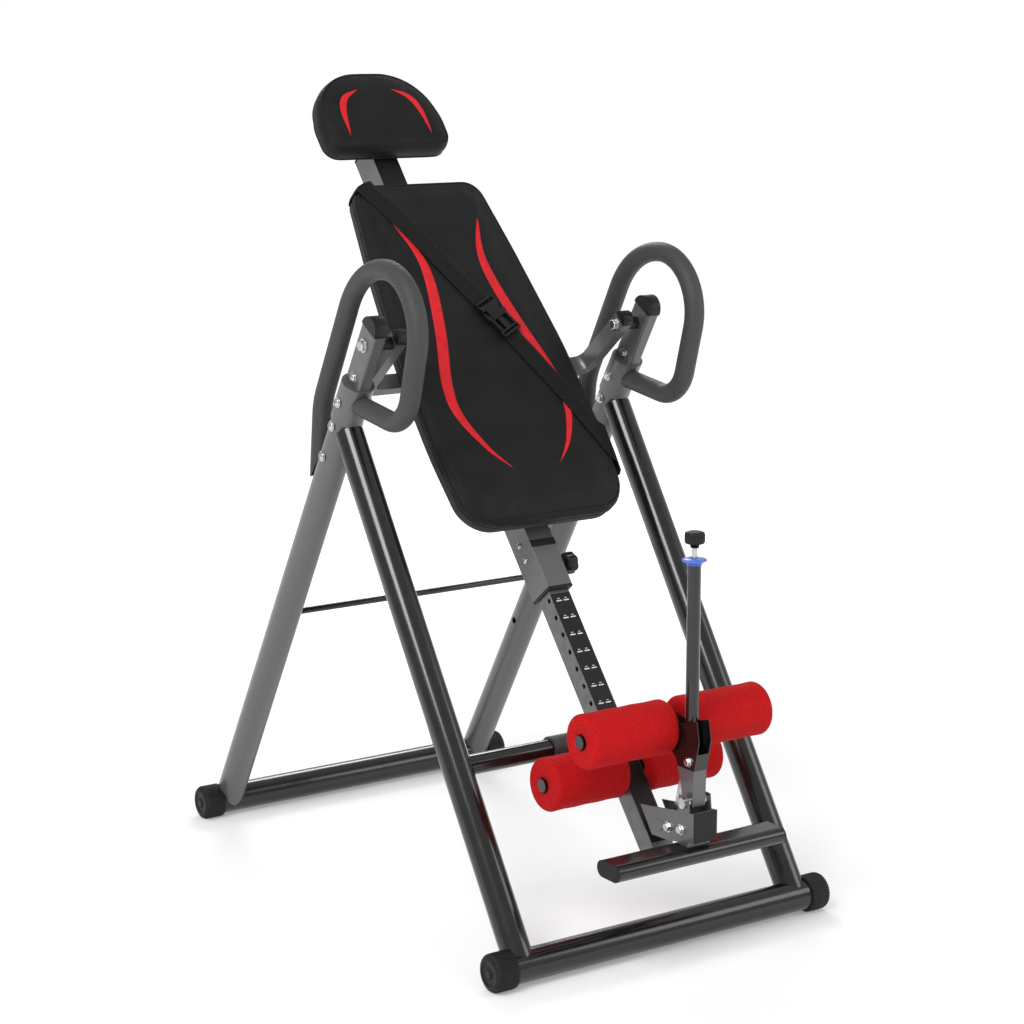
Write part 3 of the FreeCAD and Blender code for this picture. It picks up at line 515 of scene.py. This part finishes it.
def inflate(piece, cap, seam, pressure=3.0):
    """Swells a pad as cloth, held behind its seam, then caps how far any point moved."""
    remesh = piece.modifiers.new("remesh", "REMESH")
    remesh.mode = "VOXEL"
    remesh.voxel_size = PAD_VOXEL
    apply_modifiers(piece)
    held = piece.vertex_groups.new(name="held")
    start = [v.co.copy() for v in piece.data.vertices]
    fixed = [i for i, co in enumerate(start) if (co - PIVOT).dot(BACK) > seam]
    held.add(fixed, 1.0, "REPLACE")
    cloth = piece.modifiers.new("cloth", "CLOTH")
    cloth.settings.use_pressure = True
    cloth.settings.uniform_pressure_force = pressure
    cloth.settings.vertex_group_mass = "held"
    cloth.settings.effector_weights.gravity = 0
    cloth.settings.quality = 5
    cloth.point_cache.frame_start = 1
    cloth.point_cache.frame_end = CLOTH_FRAMES
    scene = bpy.context.scene
    for number in range(1, CLOTH_FRAMES + 1):
        scene.frame_set(number)
        bpy.context.view_layer.update()
    ready = piece.evaluated_get(bpy.context.evaluated_depsgraph_get())
    spots = [v.co.copy() for v in ready.data.vertices]
    piece.modifiers.remove(cloth)
    for vertex, old, new in zip(piece.data.vertices, start, spots):
        move = new - old
        if move.length > cap:
            move = move.normalized() * cap
        vertex.co = old + move
    scene.frame_set(1)
    piece.vertex_groups.clear()


def apply_modifiers(piece):
    ready = piece.evaluated_get(bpy.context.evaluated_depsgraph_get())
    mesh = bpy.data.meshes.new_from_object(ready)
    piece.modifiers.clear()
    piece.data = mesh
    for polygon in mesh.polygons:
        polygon.use_smooth = True


def pad_piece(name, node, body, outline, cap):
    """One upholstered pad in the space of its solid; cap limits how far it swells."""
    low, high = bed_box(node)
    crown = PAD_CROWN * 0.7
    verts, faces = cushion(outline, low[1] + crown, high[1], crown)
    piece = add(name, verts, faces, "pad_fabric", body)
    inflate(piece, cap, low[1] + SEAM_DEPTH)
    dress(piece, "pad_fabric", body)
    ease = piece.modifiers.new("ease", "SMOOTH")
    ease.factor = 0.5
    ease.iterations = 5
    smooth = piece.modifiers.new("round", "SUBSURF")
    smooth.levels = 1
    smooth.render_levels = 1
    apply_modifiers(piece)
    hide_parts(node)
    return piece


class Surface:
    """The front of a pad, found by rays from in front of it."""

    def __init__(self, piece):
        mesh = piece.data
        self.tree = BVHTree.FromPolygons([v.co.copy() for v in mesh.vertices],
                                         [tuple(p.vertices) for p in mesh.polygons])

    def level(self, x, up, default):
        """How far back the surface lies at (x, up)."""
        hit = self.tree.ray_cast(bed(x, -0.2, up), BACK)
        return (hit[0] - PIVOT).dot(BACK) if hit[0] else default

    def nearest(self, point):
        spot, normal, _, _ = self.tree.find_nearest(point)
        return spot, normal


def tube_along(points, radius, closed=True, steps=8):
    """A round tube through points, with one fixed way to keep it from twisting."""
    rows = []
    count = len(points)
    for i, point in enumerate(points):
        ahead = points[(i + 1) % count] if closed or i < count - 1 else point
        behind = points[i - 1] if closed or i > 0 else point
        run = (ahead - behind).normalized()
        side = run.cross(BACK).normalized()
        other = run.cross(side)
        rows.append([point + (side * math.cos(a) + other * math.sin(a)) * radius
                     for a in (2 * math.pi * j / steps for j in range(steps))])
    verts = [point for row in rows for point in row]
    faces = lattice(rows, closed_rows=closed)
    if not closed:
        faces.append(tuple(range(steps)))
        faces.append(tuple(range(len(verts) - steps, len(verts))))
    return verts, faces


def piping(name, surface, outline, level, radius, body):
    """A sewn cord round the pad where its front meets its side."""
    points = []
    for spot in inset(outline, 0.0015):
        near, normal = surface.nearest(bed(spot.x, level, spot.y))
        points.append(near + normal * radius * 0.15)
    count = len(points)
    even = [(points[i - 2] + points[i - 1] + points[i] + points[(i + 1) % count]
             + points[(i + 2) % count]) / 5 for i in range(count)]
    verts, faces = tube_along(even, radius)
    return add(name, verts, faces, "pad_fabric", body)


def mirrored(points):
    return points + [(-x, up) for x, up in reversed(points)]


def back_outline():
    low, high = bed_box("backrest_pad")
    top, bottom = high[2], low[2]
    points = mirrored([(0.130, top), (0.150, 0.230), (0.170, 0.020), (0.172, -0.160),
                       (0.162, bottom)])
    radii = [0.038, 0.5, 0.7, 0.9, 0.062]
    return rounded(points, radii + radii[::-1])


def head_outline():
    low, high = bed_box("headrest_pad")
    top, bottom, half = high[2], low[2], high[0]
    points = mirrored([(half * 0.8, top), (half, bottom + 0.062), (half, bottom)])
    radii = [0.100, 0.040, 0.024]
    return rounded(points, radii + radii[::-1])


def spline(points, share):
    """A smooth line through points, at share 0 to 1 of the way along it."""
    count = len(points) - 1
    spot = min(share * count, count - 1e-9)
    i = int(spot)
    t = spot - i
    p1, p2 = Vector(points[i]), Vector(points[i + 1])
    p0 = Vector(points[i - 1]) if i else p1 * 2 - p2
    p3 = Vector(points[i + 2]) if i + 2 <= count else p2 * 2 - p1
    return 0.5 * (2 * p1 + (p2 - p0) * t + (2 * p0 - 5 * p1 + 4 * p2 - p3) * t ** 2
                  + (3 * p1 - p0 - 3 * p2 + p3) * t ** 3)


def stripe(name, surface, line, width, peak, body, rise=0.0007):
    """A sewn-on stripe that tapers to a point at both ends and is widest at peak."""
    steps = 90
    lanes = 7
    rows = []
    for i in range(steps + 1):
        share = i / steps
        ahead = spline(line, min(1, share + 0.01)) - spline(line, max(0, share - 0.01))
        side = Vector((-ahead.y, ahead.x)).normalized()
        bent = share ** (math.log(0.5) / math.log(peak))
        half = width / 2 * max(0.02, math.sin(math.pi * bent)) ** 0.9
        row = []
        for j in range(lanes):
            spot = spline(line, share) + side * half * (2 * j / (lanes - 1) - 1)
            level = surface.level(spot.x, spot.y, 0.076)
            row.append((spot, level))
        rows.append(row)
    tops = [[bed(spot.x, level - rise, spot.y) for spot, level in row] for row in rows]
    undersides = [[bed(spot.x, level + rise, spot.y) for spot, level in row] for row in rows]
    loops = [top + under[::-1] for top, under in zip(tops, undersides)]
    verts = [point for loop in loops for point in loop]
    faces = lattice(loops)
    width_now = 2 * lanes
    faces.append(tuple(range(width_now)))
    faces.append(tuple(range(len(verts) - width_now, len(verts))))
    return add(name, verts, faces, "stripe", body)


BACK_STRIPE = [(0.090, 0.295), (0.066, 0.225), (0.065, 0.160), (0.085, 0.057), (0.112, -0.045),
               (0.113, -0.110), (0.085, -0.178), (0.050, -0.222)]
HEAD_STRIPE = [(0.037, 0.607), (0.068, 0.590), (0.082, 0.560), (0.087, 0.506)]


def trim(pad, node, body, outline, name, stripe_line, width, peak):
    """Cords along both edges of a pad and a stripe on each side of its front."""
    surface = Surface(pad)
    low, high = bed_box(node)
    piping(name + "_piping_front", surface, outline, low[1] + CORD_FRONT_DEPTH, FRONT_CORD, body)
    piping(name + "_piping_rear", surface, outline, high[1] - CORD_REAR_DEPTH, REAR_CORD, body)
    for which, side in (("left", -1), ("right", 1)):
        line = [(side * x, up) for x, up in stripe_line]
        stripe(f"{name}_stripe_{which}", surface, line, width, peak, body)
    return surface


def upholstery():
    outline = back_outline()
    pad = pad_piece("backrest_cushion", "backrest_pad", "bed", outline, BACK_SWELL)
    surface = trim(pad, "backrest_pad", "bed", outline, "backrest", BACK_STRIPE, 0.021, 0.42)
    belt(surface, outline)
    shape = head_outline()
    head = pad_piece("headrest_cushion", "headrest_pad", "headrest", shape, HEAD_SWELL)
    trim(head, "headrest_pad", "headrest", shape, "headrest", HEAD_STRIPE, 0.013, 0.5)


# ---------------------------------------------------------------- belt and buckle

BELT_HIGH = Vector((-0.106, 0.366))
BELT_LOW = Vector((0.166, -0.182))
BELT_HALF = 0.019


def inside(outline, spot):
    """Whether a point is inside a closed outline."""
    crossed = False
    count = len(outline)
    for i in range(count):
        a, b = outline[i], outline[(i + 1) % count]
        if (a.y > spot.y) != (b.y > spot.y):
            if spot.x < a.x + (b.x - a.x) * (spot.y - a.y) / (b.y - a.y):
                crossed = not crossed
    return crossed


def belt(surface, outline):
    """Webbing over the pad, drawn round its edge to the board's back at both ends."""
    run = (BELT_LOW - BELT_HIGH).normalized()
    side = Vector((-run.y, run.x))
    low = bed_box("backrest_pad")[0]
    rear = bed_box("backrest_board")[1][1]
    lanes = 9
    columns = []
    for j in range(lanes):
        start = BELT_HIGH + side * BELT_HALF * (2 * j / (lanes - 1) - 1)
        first = 0.0
        while inside(outline, start + run * first):
            first -= 0.001
        last = 0.2
        while inside(outline, start + run * last):
            last += 0.001
        edge = [(first + 0.055, rear + STRAP_CLEAR), (first + 0.02, rear + STRAP_CLEAR),
                (first - 0.002, rear + STRAP_CLEAR), (first - 0.0045, rear - 0.006),
                (first - 0.005, (rear + low[1]) / 2), (first - 0.0045, low[1] + 0.014),
                (first - 0.002, low[1] + 0.006)]
        slack = (0, 0, 0.005, 0.013, 0.018, 0.014, 0.005)
        tail = [(last + first - share + loose, level)
                for (share, level), loose in zip(reversed(edge), reversed(slack))]
        body = []
        steps = 110
        begin, end = first + 0.006, last - 0.006
        for i in range(steps + 1):
            share = begin + (end - begin) * i / steps
            spot = start + run * share
            body.append((share, surface.level(spot.x, spot.y, low[1] + 0.004) - STRAP_CLEAR))
        flat = [(share, sum(depth for _, depth in body[max(0, i - 4):i + 5])
                 / len(body[max(0, i - 4):i + 5]) - 0.0003)
                for i, (share, level) in enumerate(body)]
        path = edge + flat + tail
        columns.append([(start + run * share, level) for share, level in path])
    half = STRAP_HALF_THICK
    loops = []
    for i in range(len(columns[0])):
        row = [bed(spot.x, level, spot.y) for spot, level in (column[i] for column in columns)]
        before = [bed(c[max(0, i - 1)][0].x, c[max(0, i - 1)][1], c[max(0, i - 1)][0].y)
                  for c in columns]
        after_index = min(len(columns[0]) - 1, i + 1)
        after = [bed(c[after_index][0].x, c[after_index][1], c[after_index][0].y)
                 for c in columns]
        middle = lanes // 2
        along = (after[middle] - before[middle]).normalized()
        out = along.cross(row[-1] - row[0]).normalized()
        loops.append([p + out * half for p in row] + [p - out * half for p in reversed(row)])
    verts = [point for loop in loops for point in loop]
    faces = lattice(loops)
    width = 2 * lanes
    faces.append(tuple(range(width)))
    faces.append(tuple(range(len(verts) - width, len(verts))))
    strap = add("belt_webbing", verts, faces, "webbing", "bed")
    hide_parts("belt_strap")
    buckle(surface, run, side)


def buckle(surface, run, side):
    """A side-release buckle: socket with two side windows, tongue half with its two prongs."""
    centre = BELT_HIGH + (BELT_LOW - BELT_HIGH) * 0.53
    level = surface.level(centre.x, centre.y, 0.076) - 0.0075
    along = ACROSS * run.x + UP * run.y
    wide = ACROSS * side.x + UP * side.y
    out = -BACK
    middle = bed(centre.x, level, centre.y)
    parts = Parts()

    def slab(s, w, h, length, width, thick):
        parts.block(middle + along * s + wide * w + out * h, along, wide, out,
                    (length, width, thick))

    slab(-0.012, 0, 0.003, 0.030, 0.030, 0.006)
    slab(-0.012, 0, -0.003, 0.030, 0.040, 0.0045)
    slab(-0.0285, 0, 0.0, 0.004, 0.046, 0.009)
    slab(-0.0385, 0, 0.0, 0.004, 0.046, 0.007)
    slab(0.0285, 0, 0.0, 0.004, 0.046, 0.008)
    slab(0.0365, 0, 0.0015, 0.004, 0.046, 0.006)
    slab(0.015, 0, 0.0005, 0.026, 0.012, 0.006)
    for sign in (-1, 1):
        slab(-0.0335, sign * 0.0215, 0, 0.012, 0.003, 0.007)
        slab(0.033, sign * 0.0215, 0, 0.012, 0.003, 0.007)
        slab(0.008, sign * 0.0185, 0.0005, 0.036, 0.005, 0.008)
        slab(-0.008, sign * 0.0225, 0.0005, 0.014, 0.004, 0.007)
        slab(-0.024, sign * 0.017, 0.0005, 0.008, 0.009, 0.009)
    clip = parts.add("belt_side_buckle", "black_plastic", "bed", smooth=False)
    soften(clip, 0.0009)
    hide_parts("belt_buckle")


# ---------------------------------------------------------------- rollers, caps, knobs, bolts

def foam_roller(node):
    """A foam sleeve with pressed-in ends and a dark plastic hub at its outer end."""
    low, high = Vector(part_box(node)[0]), Vector(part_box(node)[1])
    centre = (low + high) / 2
    radius = (high.z - low.z) / 2
    length = high.x - low.x
    bore = 0.0075
    edge = 0.008
    profile = [(0.011, bore), (0.011, 0.0127), (0.0015, 0.0127), (0.0, 0.0145),
               (0.0, radius - edge)]
    for k in range(1, 7):
        turn = math.pi / 2 * k / 6
        profile.append((edge * (1 - math.cos(turn)), radius - edge * (1 - math.sin(turn))))
    for k in range(1, 12):
        share = k / 12
        dip = 0.0008 * math.sin(3 * math.pi * share) ** 2
        profile.append((edge + (length - 2 * edge) * share, radius - dip))
    mirror = [(length - along, reach) for along, reach in reversed(profile[:11])]
    profile += mirror
    start = Vector((low.x, centre.y, centre.z))
    verts, faces = turned(start, ACROSS, profile + [profile[0]], 96)
    foam = add(node + "_foam", verts, faces, "roller_foam", node)
    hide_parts(node)
    hub = Parts()
    for spot, way in ((low.x, 1), (high.x, -1)):
        origin = Vector((spot, centre.y, centre.z))
        hub.lathe(origin, ACROSS * way, [(0.012, bore), (0.0055, bore), (0.005, bore + 0.001),
                                         (0.005, 0.0118), (0.0055, 0.0124), (0.012, 0.0124),
                                         (0.012, bore)], 48)
    hub.add(node + "_hubs", "black_plastic", node)


def base_caps(node):
    """Two moulded caps with grip ribs round them and a flat where they stand."""
    low, high = Vector(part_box(node)[0]), Vector(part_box(node)[1])
    y = (low.y + high.y) / 2
    radius = (high.y - low.y) / 2
    z = high.z - radius
    length = 0.042
    parts = Parts()
    for sign in (-1, 1):
        outer = high.x if sign > 0 else low.x
        origin = Vector((outer - sign * length, y, z))
        profile = [(0.0, 0.0272), (0.0, radius - 0.002), (0.002, radius - 0.0002),
                   (0.004, radius), (0.033, radius), (0.036, radius - 0.0006),
                   (0.040, radius - 0.0035), (length, radius - 0.0085),
                   (length, radius - 0.011), (length - 0.0015, radius - 0.012),
                   (length - 0.0015, 0.009), (length, 0.008), (length, 0.0)]
        verts, faces = turned(origin, ACROSS * sign, profile, 216, ridges=36, ridge=0.0014)
        parts.put([Vector((v.x, v.y, max(v.z, 0.0))) for v in verts], faces)
    piece = parts.add(node + "_ribbed", "rubber_black", "frame")
    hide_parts(node)


def button_head(parts, origin, axis, radius, rise):
    """Washer, domed head and its hexagonal socket."""
    parts.lathe(origin, axis, [(0, 0), (0, radius * 1.25), (0.0010, radius * 1.25),
                               (0.0014, radius * 1.18), (0.0014, 0)], 40)
    dome = [(0.0014 + rise * math.sin(a), radius * math.cos(a) ** 0.75)
            for a in (math.pi / 2 * k / 8 for k in range(6))]
    rim = dome[-1][1]
    dome += [(dome[-1][0] + 0.0003, rim * 0.8), (dome[-1][0] - 0.002, rim * 0.72),
             (dome[-1][0] - 0.002, 0)]
    parts.lathe(origin, axis, [(0.0014, 0)] + dome, 36)


def bolt_spots(node):
    """Middles of a node's separate solids: (centre, lowest x, highest x)."""
    mesh = NODES[node].data
    work = bmesh.new()
    work.from_mesh(mesh)
    bmesh.ops.remove_doubles(work, verts=work.verts, dist=1e-5)
    left = set(work.verts)
    spots = []
    while left:
        queue = [left.pop()]
        seen = []
        while queue:
            vertex = queue.pop()
            seen.append(vertex.co.copy())
            for edge in vertex.link_edges:
                other = edge.other_vert(vertex)
                if other in left:
                    left.remove(other)
                    queue.append(other)
        lows = [min(co[k] for co in seen) for k in range(3)]
        highs = [max(co[k] for co in seen) for k in range(3)]
        spots.append((Vector([(a + b) / 2 for a, b in zip(lows, highs)]), lows[0], highs[0]))
    work.free()
    return sorted(spots, key=lambda spot: (round(spot[0].x, 3), round(spot[0].z, 3)))


def bolts():
    """Button heads and washers on the frame, hexagon nuts on the other ends."""
    parts = Parts()
    for centre, low, high in bolt_spots("frame_bolts"):
        for end, way in ((low, -1), (high, 1)):
            seat = Vector((end - way * FRAME_HEAD_RISE, centre.y, centre.z))
            if (way > 0) == (centre.x > 0):
                button_head(parts, seat, ACROSS * way, 0.0078, 0.0042)
            else:
                parts.hex_end(seat, ACROSS * way, (0.0092, 0.0014), (0.013, 0.0045))
        parts.shank(centre, low + BRACKET_HEAD_RISE, high - BRACKET_HEAD_RISE, 0.0038)
    piece = parts.add("frame_bolt_heads", "bright_steel", "frame", smooth=False)
    soften(piece, 0.0003, 2)
    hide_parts("frame_bolts")


def bracket_bolt_heads():
    parts = Parts()
    for centre, low, high in bolt_spots("bracket_bolts"):
        for end, way in ((low + BRACKET_HEAD_RISE, -1), (high - BRACKET_HEAD_RISE, 1)):
            seat = Vector((end, centre.y, centre.z))
            parts.hex_end(seat, ACROSS * way, (0.0092, 0.0012), (0.013, 0.005))
        parts.shank(centre, low + BRACKET_HEAD_RISE, high - BRACKET_HEAD_RISE, 0.0038)
    piece = parts.add("bracket_hex_bolts", "bright_steel", "height_rail", smooth=False)
    soften(piece, 0.0003, 2)
    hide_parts("bracket_bolts")


def height_knob():
    """A six-lobed hand knob with a domed face and a collar under it."""
    low, high = Vector(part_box("height_knob")[0]), Vector(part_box("height_knob")[1])
    centre = (low + high) / 2
    radius = (high.z - low.z) / 2
    length = high.x - low.x
    side = UP
    other = BACK
    rows = []
    profile = [(0.0, 0.35), (0.0, 0.88), (0.002, 0.97), (0.005, 1.0), (length - 0.006, 1.0),
               (length - 0.003, 0.97), (length - 0.001, 0.88), (length, 0.7), (length, 0.5),
               (length - 0.001, 0.44), (length - 0.001, 0.0)]
    for along, share in profile:
        ring = []
        for j in range(120):
            turn = 2 * math.pi * j / 120
            lobe = 1 - 0.13 * (0.5 + 0.5 * math.cos(6 * turn)) ** 1.4 * (share > 0.6)
            reach = radius * share * lobe
            ring.append(Vector((low.x + along, centre.y, centre.z))
                        + (side * math.cos(turn) + other * math.sin(turn)) * reach)
        rows.append(ring)
    verts = [point for ring in rows for point in ring]
    faces = lattice(rows) + [tuple(range(120))]
    piece = add("height_knob_lobed", verts, faces, "black_plastic", "height_knob")
    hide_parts("height_knob")


def lever_top():
    """Flanged disc and knurled release knob."""
    low, high = Vector(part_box("lever_disc")[0]), Vector(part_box("lever_disc")[1])
    centre = (low + high) / 2
    radius = (high.x - low.x) / 2
    tall = high.z - low.z
    bore = 0.0048
    profile = [(0, bore), (0, 0.0125), (tall * 0.35, 0.0130), (tall * 0.5, radius - 0.003),
               (tall * 0.62, radius - 0.0006), (tall * 0.74, radius), (tall * 0.86, radius - 0.001),
               (tall * 0.94, radius - 0.004), (tall, radius * 0.55), (tall, bore), (0, bore)]
    verts, faces = turned(Vector((centre.x, centre.y, low.z)), Vector((0, 0, 1)), profile, 72)
    disc = add("lever_disc_flange", verts, faces, "disc_blue", "ankle_lever")
    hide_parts("lever_disc")
    low, high = Vector(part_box("release_knob")[0]), Vector(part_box("release_knob")[1])
    centre = (low + high) / 2
    radius = (high.x - low.x) / 2
    tall = high.z - low.z
    profile = [(0, 0), (0, radius * 0.42), (0.005, radius * 0.45), (0.007, radius * 0.9),
               (0.010, radius), (tall - 0.005, radius), (tall - 0.0015, radius * 0.93),
               (tall, radius * 0.7), (tall - 0.0006, radius * 0.4), (tall - 0.0006, 0)]
    verts, faces = turned(Vector((centre.x, centre.y, low.z)), Vector((0, 0, 1)), profile, 144,
                          ridges=24, ridge=0.0008)
    knob = add("release_knob_knurled", verts, faces, "black_plastic", "release")
    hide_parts("release_knob")


def rail_scale():
    """A dark strip on the rail's front with two plain marks at each height hole."""
    face = bed_box("height_rail")[0][1]
    strip = Parts()
    strip.block(bed(0, face - 0.00025, (RAIL_STRIP_TOP + RAIL_STRIP_LOW) / 2), ACROSS, BACK, UP,
                (0.0395, 0.0005, RAIL_STRIP_TOP - RAIL_STRIP_LOW))
    plate = strip.add("rail_scale_strip", "black_plastic", "height_rail", smooth=False)
    soften(plate, 0.0002, 1)
    marks = Parts()
    for number in range(RAIL_HOLES):
        up = RAIL_STRIP_TOP - 0.014 - number * RAIL_PITCH
        for x in (-0.0075, 0.0075):
            marks.block(bed(x, face - 0.00065, up), ACROSS, BACK, UP, (0.0105, 0.0003, 0.0022))
            marks.block(bed(x, face - 0.00065, up + 0.0042), ACROSS, BACK, UP,
                        (0.0045, 0.0003, 0.0011))
    marks.add("rail_scale_marks", "print", "height_rail", "black_plastic", smooth=False)


def beam_details():
    """Bolts on the beam and the pad brackets, belt anchors, and dark strips on the beam's front that are painted
    shade.
    """
    parts = Parts()
    for up in (-0.322, -0.352):
        button_head(parts, bed(-0.025, 0.182, up), -ACROSS, 0.0045, 0.0025)
    low, high = bed_box("pad_brackets")
    for up in (low[2] + 0.015, high[2] - 0.015):
        for x in (-0.070, 0.070):
            parts.hexagon(bed(x, high[1], up), BACK, 0.013, 0.005)
    anchors = (BELT_HIGH + Vector((0.016, -0.045)), BELT_LOW + Vector((-0.032, 0.036)))
    for spot in anchors:
        button_head(parts, bed(spot.x, 0.1285, spot.y), BACK, 0.008, 0.004)
    parts.add("bed_small_bolts", "bright_steel", "bed", "bright_steel", smooth=False)
    # Painted shade: two black sheets on the beam's front, a narrow one low down and a tall one higher up, stand in
    # for the shade that falls there.
    shade_strips = Parts()
    wide = 0.0254
    for up, tall in ((-0.3365, 0.013), (0.4430, 0.140)):
        shade_strips.block(bed(0, BEAM_FRONT - 0.0005, up), ACROSS, BACK, UP, (2 * wide, 0.001, tall))
    shade_strips.add("beam_front_painted_shade", "black_plastic", "bed", smooth=False)


def pivot_heads():
    """Hexagon heads and washers on the bed's two pivot bolts."""
    parts = Parts()
    for centre, low, high in bolt_spots("pivot_bolts"):
        parts.shank(centre, low + PIVOT_HEAD_RISE, high - PIVOT_HEAD_RISE, 0.006, 40)
        for end, way in ((low + PIVOT_HEAD_RISE, -1), (high - PIVOT_HEAD_RISE, 1)):
            seat = Vector((end, centre.y, centre.z))
            parts.hex_end(seat, ACROSS * way, (0.0125, 0.0014), (0.017, 0.0065), 40)
    piece = parts.add("pivot_bolt_heads", "bright_steel", "bed", smooth=False)
    soften(piece, 0.0004, 2)
    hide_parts("pivot_bolts")


def ankle_details():
    """The clamp's cross bolt and the plug in the front of the ankle bracket."""
    low, high = Vector(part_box("lever_clamp")[0]), Vector(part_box("lever_clamp")[1])
    spot = Vector((0, low.y + 0.026, low.z + 0.013))
    parts = Parts()
    for end, way in ((low.x, -1), (high.x, 1)):
        seat = Vector((end, spot.y, spot.z))
        parts.hex_end(seat, ACROSS * way, (0.0082, 0.0012), (0.012, 0.0045))
    bolt = parts.add("lever_clamp_bolt", "bright_steel", "ankle_lever", smooth=False)
    soften(bolt, 0.0003, 2)
    low, high = Vector(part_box("ankle_bracket")[0]), Vector(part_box("ankle_bracket")[1])
    plug = Parts()
    height = 0.050
    middle = Vector((0, low.y - 0.0012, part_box("foot_bar")[1][2] + 0.0115 + height / 2))
    plug.block(middle, ACROSS, Vector((0, 1, 0)), Vector((0, 0, 1)),
               (high.x - low.x, 0.003, height))
    cover = plug.add("ankle_bracket_plug", "black_plastic", "height_rail", smooth=False)
    soften(cover, 0.001, 3)


# ---------------------------------------------------------------- CAD nodes that stay

SHARP = ("main_beam", "height_rail", "ankle_bracket", "lever_link", "lever_clamp", "left_bed_arm",
         "right_bed_arm", "bed_cross_tube", "headrest_post", "headrest_plate", "pad_brackets",
         "foot_bar_saddle", "ratchet_plate", "rail_end_cap", "bed_arm_caps", "beam_liners",
         "upright_caps", "foot_bar_caps", "knob_boss", "backrest_board")


def dress_nodes():
    slots = {part["node"]: part["material_slot"] for part in frame["record"]["subparts"]}
    for name, node in NODES.items():
        if node.type != "MESH":
            continue
        for holder in node.material_slots:
            holder.material = LOOKS[slots[name]]
        if name in SHARP:
            weld = node.modifiers.new("weld", "WELD")
            weld.merge_threshold = 0.00001
            soften(node, 0.0008, 2, 40)


# ---------------------------------------------------------------- studio

def floor():
    """A white floor whose own glow rises with distance, so that it fades into the background."""
    mesh = bpy.data.meshes.new("studio_floor")
    reach = 30.0
    mesh.from_pydata([(-reach, -reach, 0), (reach, -reach, 0), (reach, reach, 0),
                      (-reach, reach, 0)], [], [(0, 1, 2, 3)])
    plane = bpy.data.objects.new("studio_floor", mesh)
    bpy.context.scene.collection.objects.link(plane)
    look = Shader("studio_white", (0.8, 0.8, 0.8), 0.7, shine=0.2)
    look.out.inputs["Emission Color"].default_value = (1, 1, 1, 1)
    far = look.nodes.new("ShaderNodeVectorMath")
    far.operation = "LENGTH"
    look.links.new(look.place, far.inputs[0])
    glow = look.nodes.new("ShaderNodeMapRange")
    for socket, value in (("From Min", 0.8), ("From Max", 2.8), ("To Min", 0.22), ("To Max", 0.56)):
        glow.inputs[socket].default_value = value
    look.links.new(far.outputs["Value"], glow.inputs["Value"])
    look.links.new(glow.outputs["Result"], look.out.inputs["Emission Strength"])
    mesh.materials.append(look.material)


def light(name, spot, aim, size, power):
    lamp = bpy.data.lights.new(name, "AREA")
    lamp.shape = "RECTANGLE"
    lamp.size = size[0]
    lamp.size_y = size[1]
    lamp.energy = power
    holder = bpy.data.objects.new(name, lamp)
    holder.location = spot
    holder.rotation_euler = (Vector(aim) - Vector(spot)).to_track_quat("-Z", "Y").to_euler()
    bpy.context.scene.collection.objects.link(holder)


def studio():
    floor()
    world = bpy.data.worlds.new("studio")
    bpy.context.scene.world = world
    world.use_nodes = True
    tree = world.node_tree
    lit = tree.nodes["Background"]
    lit.inputs["Color"].default_value = (1, 1, 1, 1)
    lit.inputs["Strength"].default_value = 0.6
    seen = tree.nodes.new("ShaderNodeBackground")
    seen.inputs["Color"].default_value = (1, 1, 1, 1)
    paths = tree.nodes.new("ShaderNodeLightPath")
    mix = tree.nodes.new("ShaderNodeMixShader")
    tree.links.new(paths.outputs["Is Camera Ray"], mix.inputs["Fac"])
    tree.links.new(lit.outputs["Background"], mix.inputs[1])
    tree.links.new(seen.outputs["Background"], mix.inputs[2])
    tree.links.new(mix.outputs["Shader"], tree.nodes["World Output"].inputs["Surface"])
    light("key", (-2.6, -1.6, 3.4), (0, 0, 0.6), (1.6, 1.6), 90)
    light("fill", (2.8, -2.6, 2.2), (0, 0, 0.6), (2.0, 1.4), 25)
    light("rear", (1.5, 3.0, 2.6), (0, 0, 0.8), (1.6, 1.0), 45)
    camera = bpy.data.cameras.new("camera")
    camera.sensor_width = 36
    camera.lens = 84.375
    camera.clip_end = 200
    holder = bpy.data.objects.new("camera", camera)
    holder.location = (-2.2964, -3.4767, 1.5148)
    holder.rotation_euler = (math.radians(90 - 11.585), 0, math.radians(-33.6))
    bpy.context.scene.collection.objects.link(holder)
    bpy.context.scene.camera = holder


studio()
dress_nodes()
upholstery()
for roller in ("rear_roller_left", "rear_roller_right", "front_roller_left",
               "front_roller_right"):
    foam_roller(roller)
base_caps("front_base_caps")
base_caps("rear_base_caps")
bolts()
bracket_bolt_heads()
pivot_heads()
height_knob()
lever_top()
rail_scale()
beam_details()
ankle_details()
bpy.context.scene.view_settings.view_transform = "Standard"
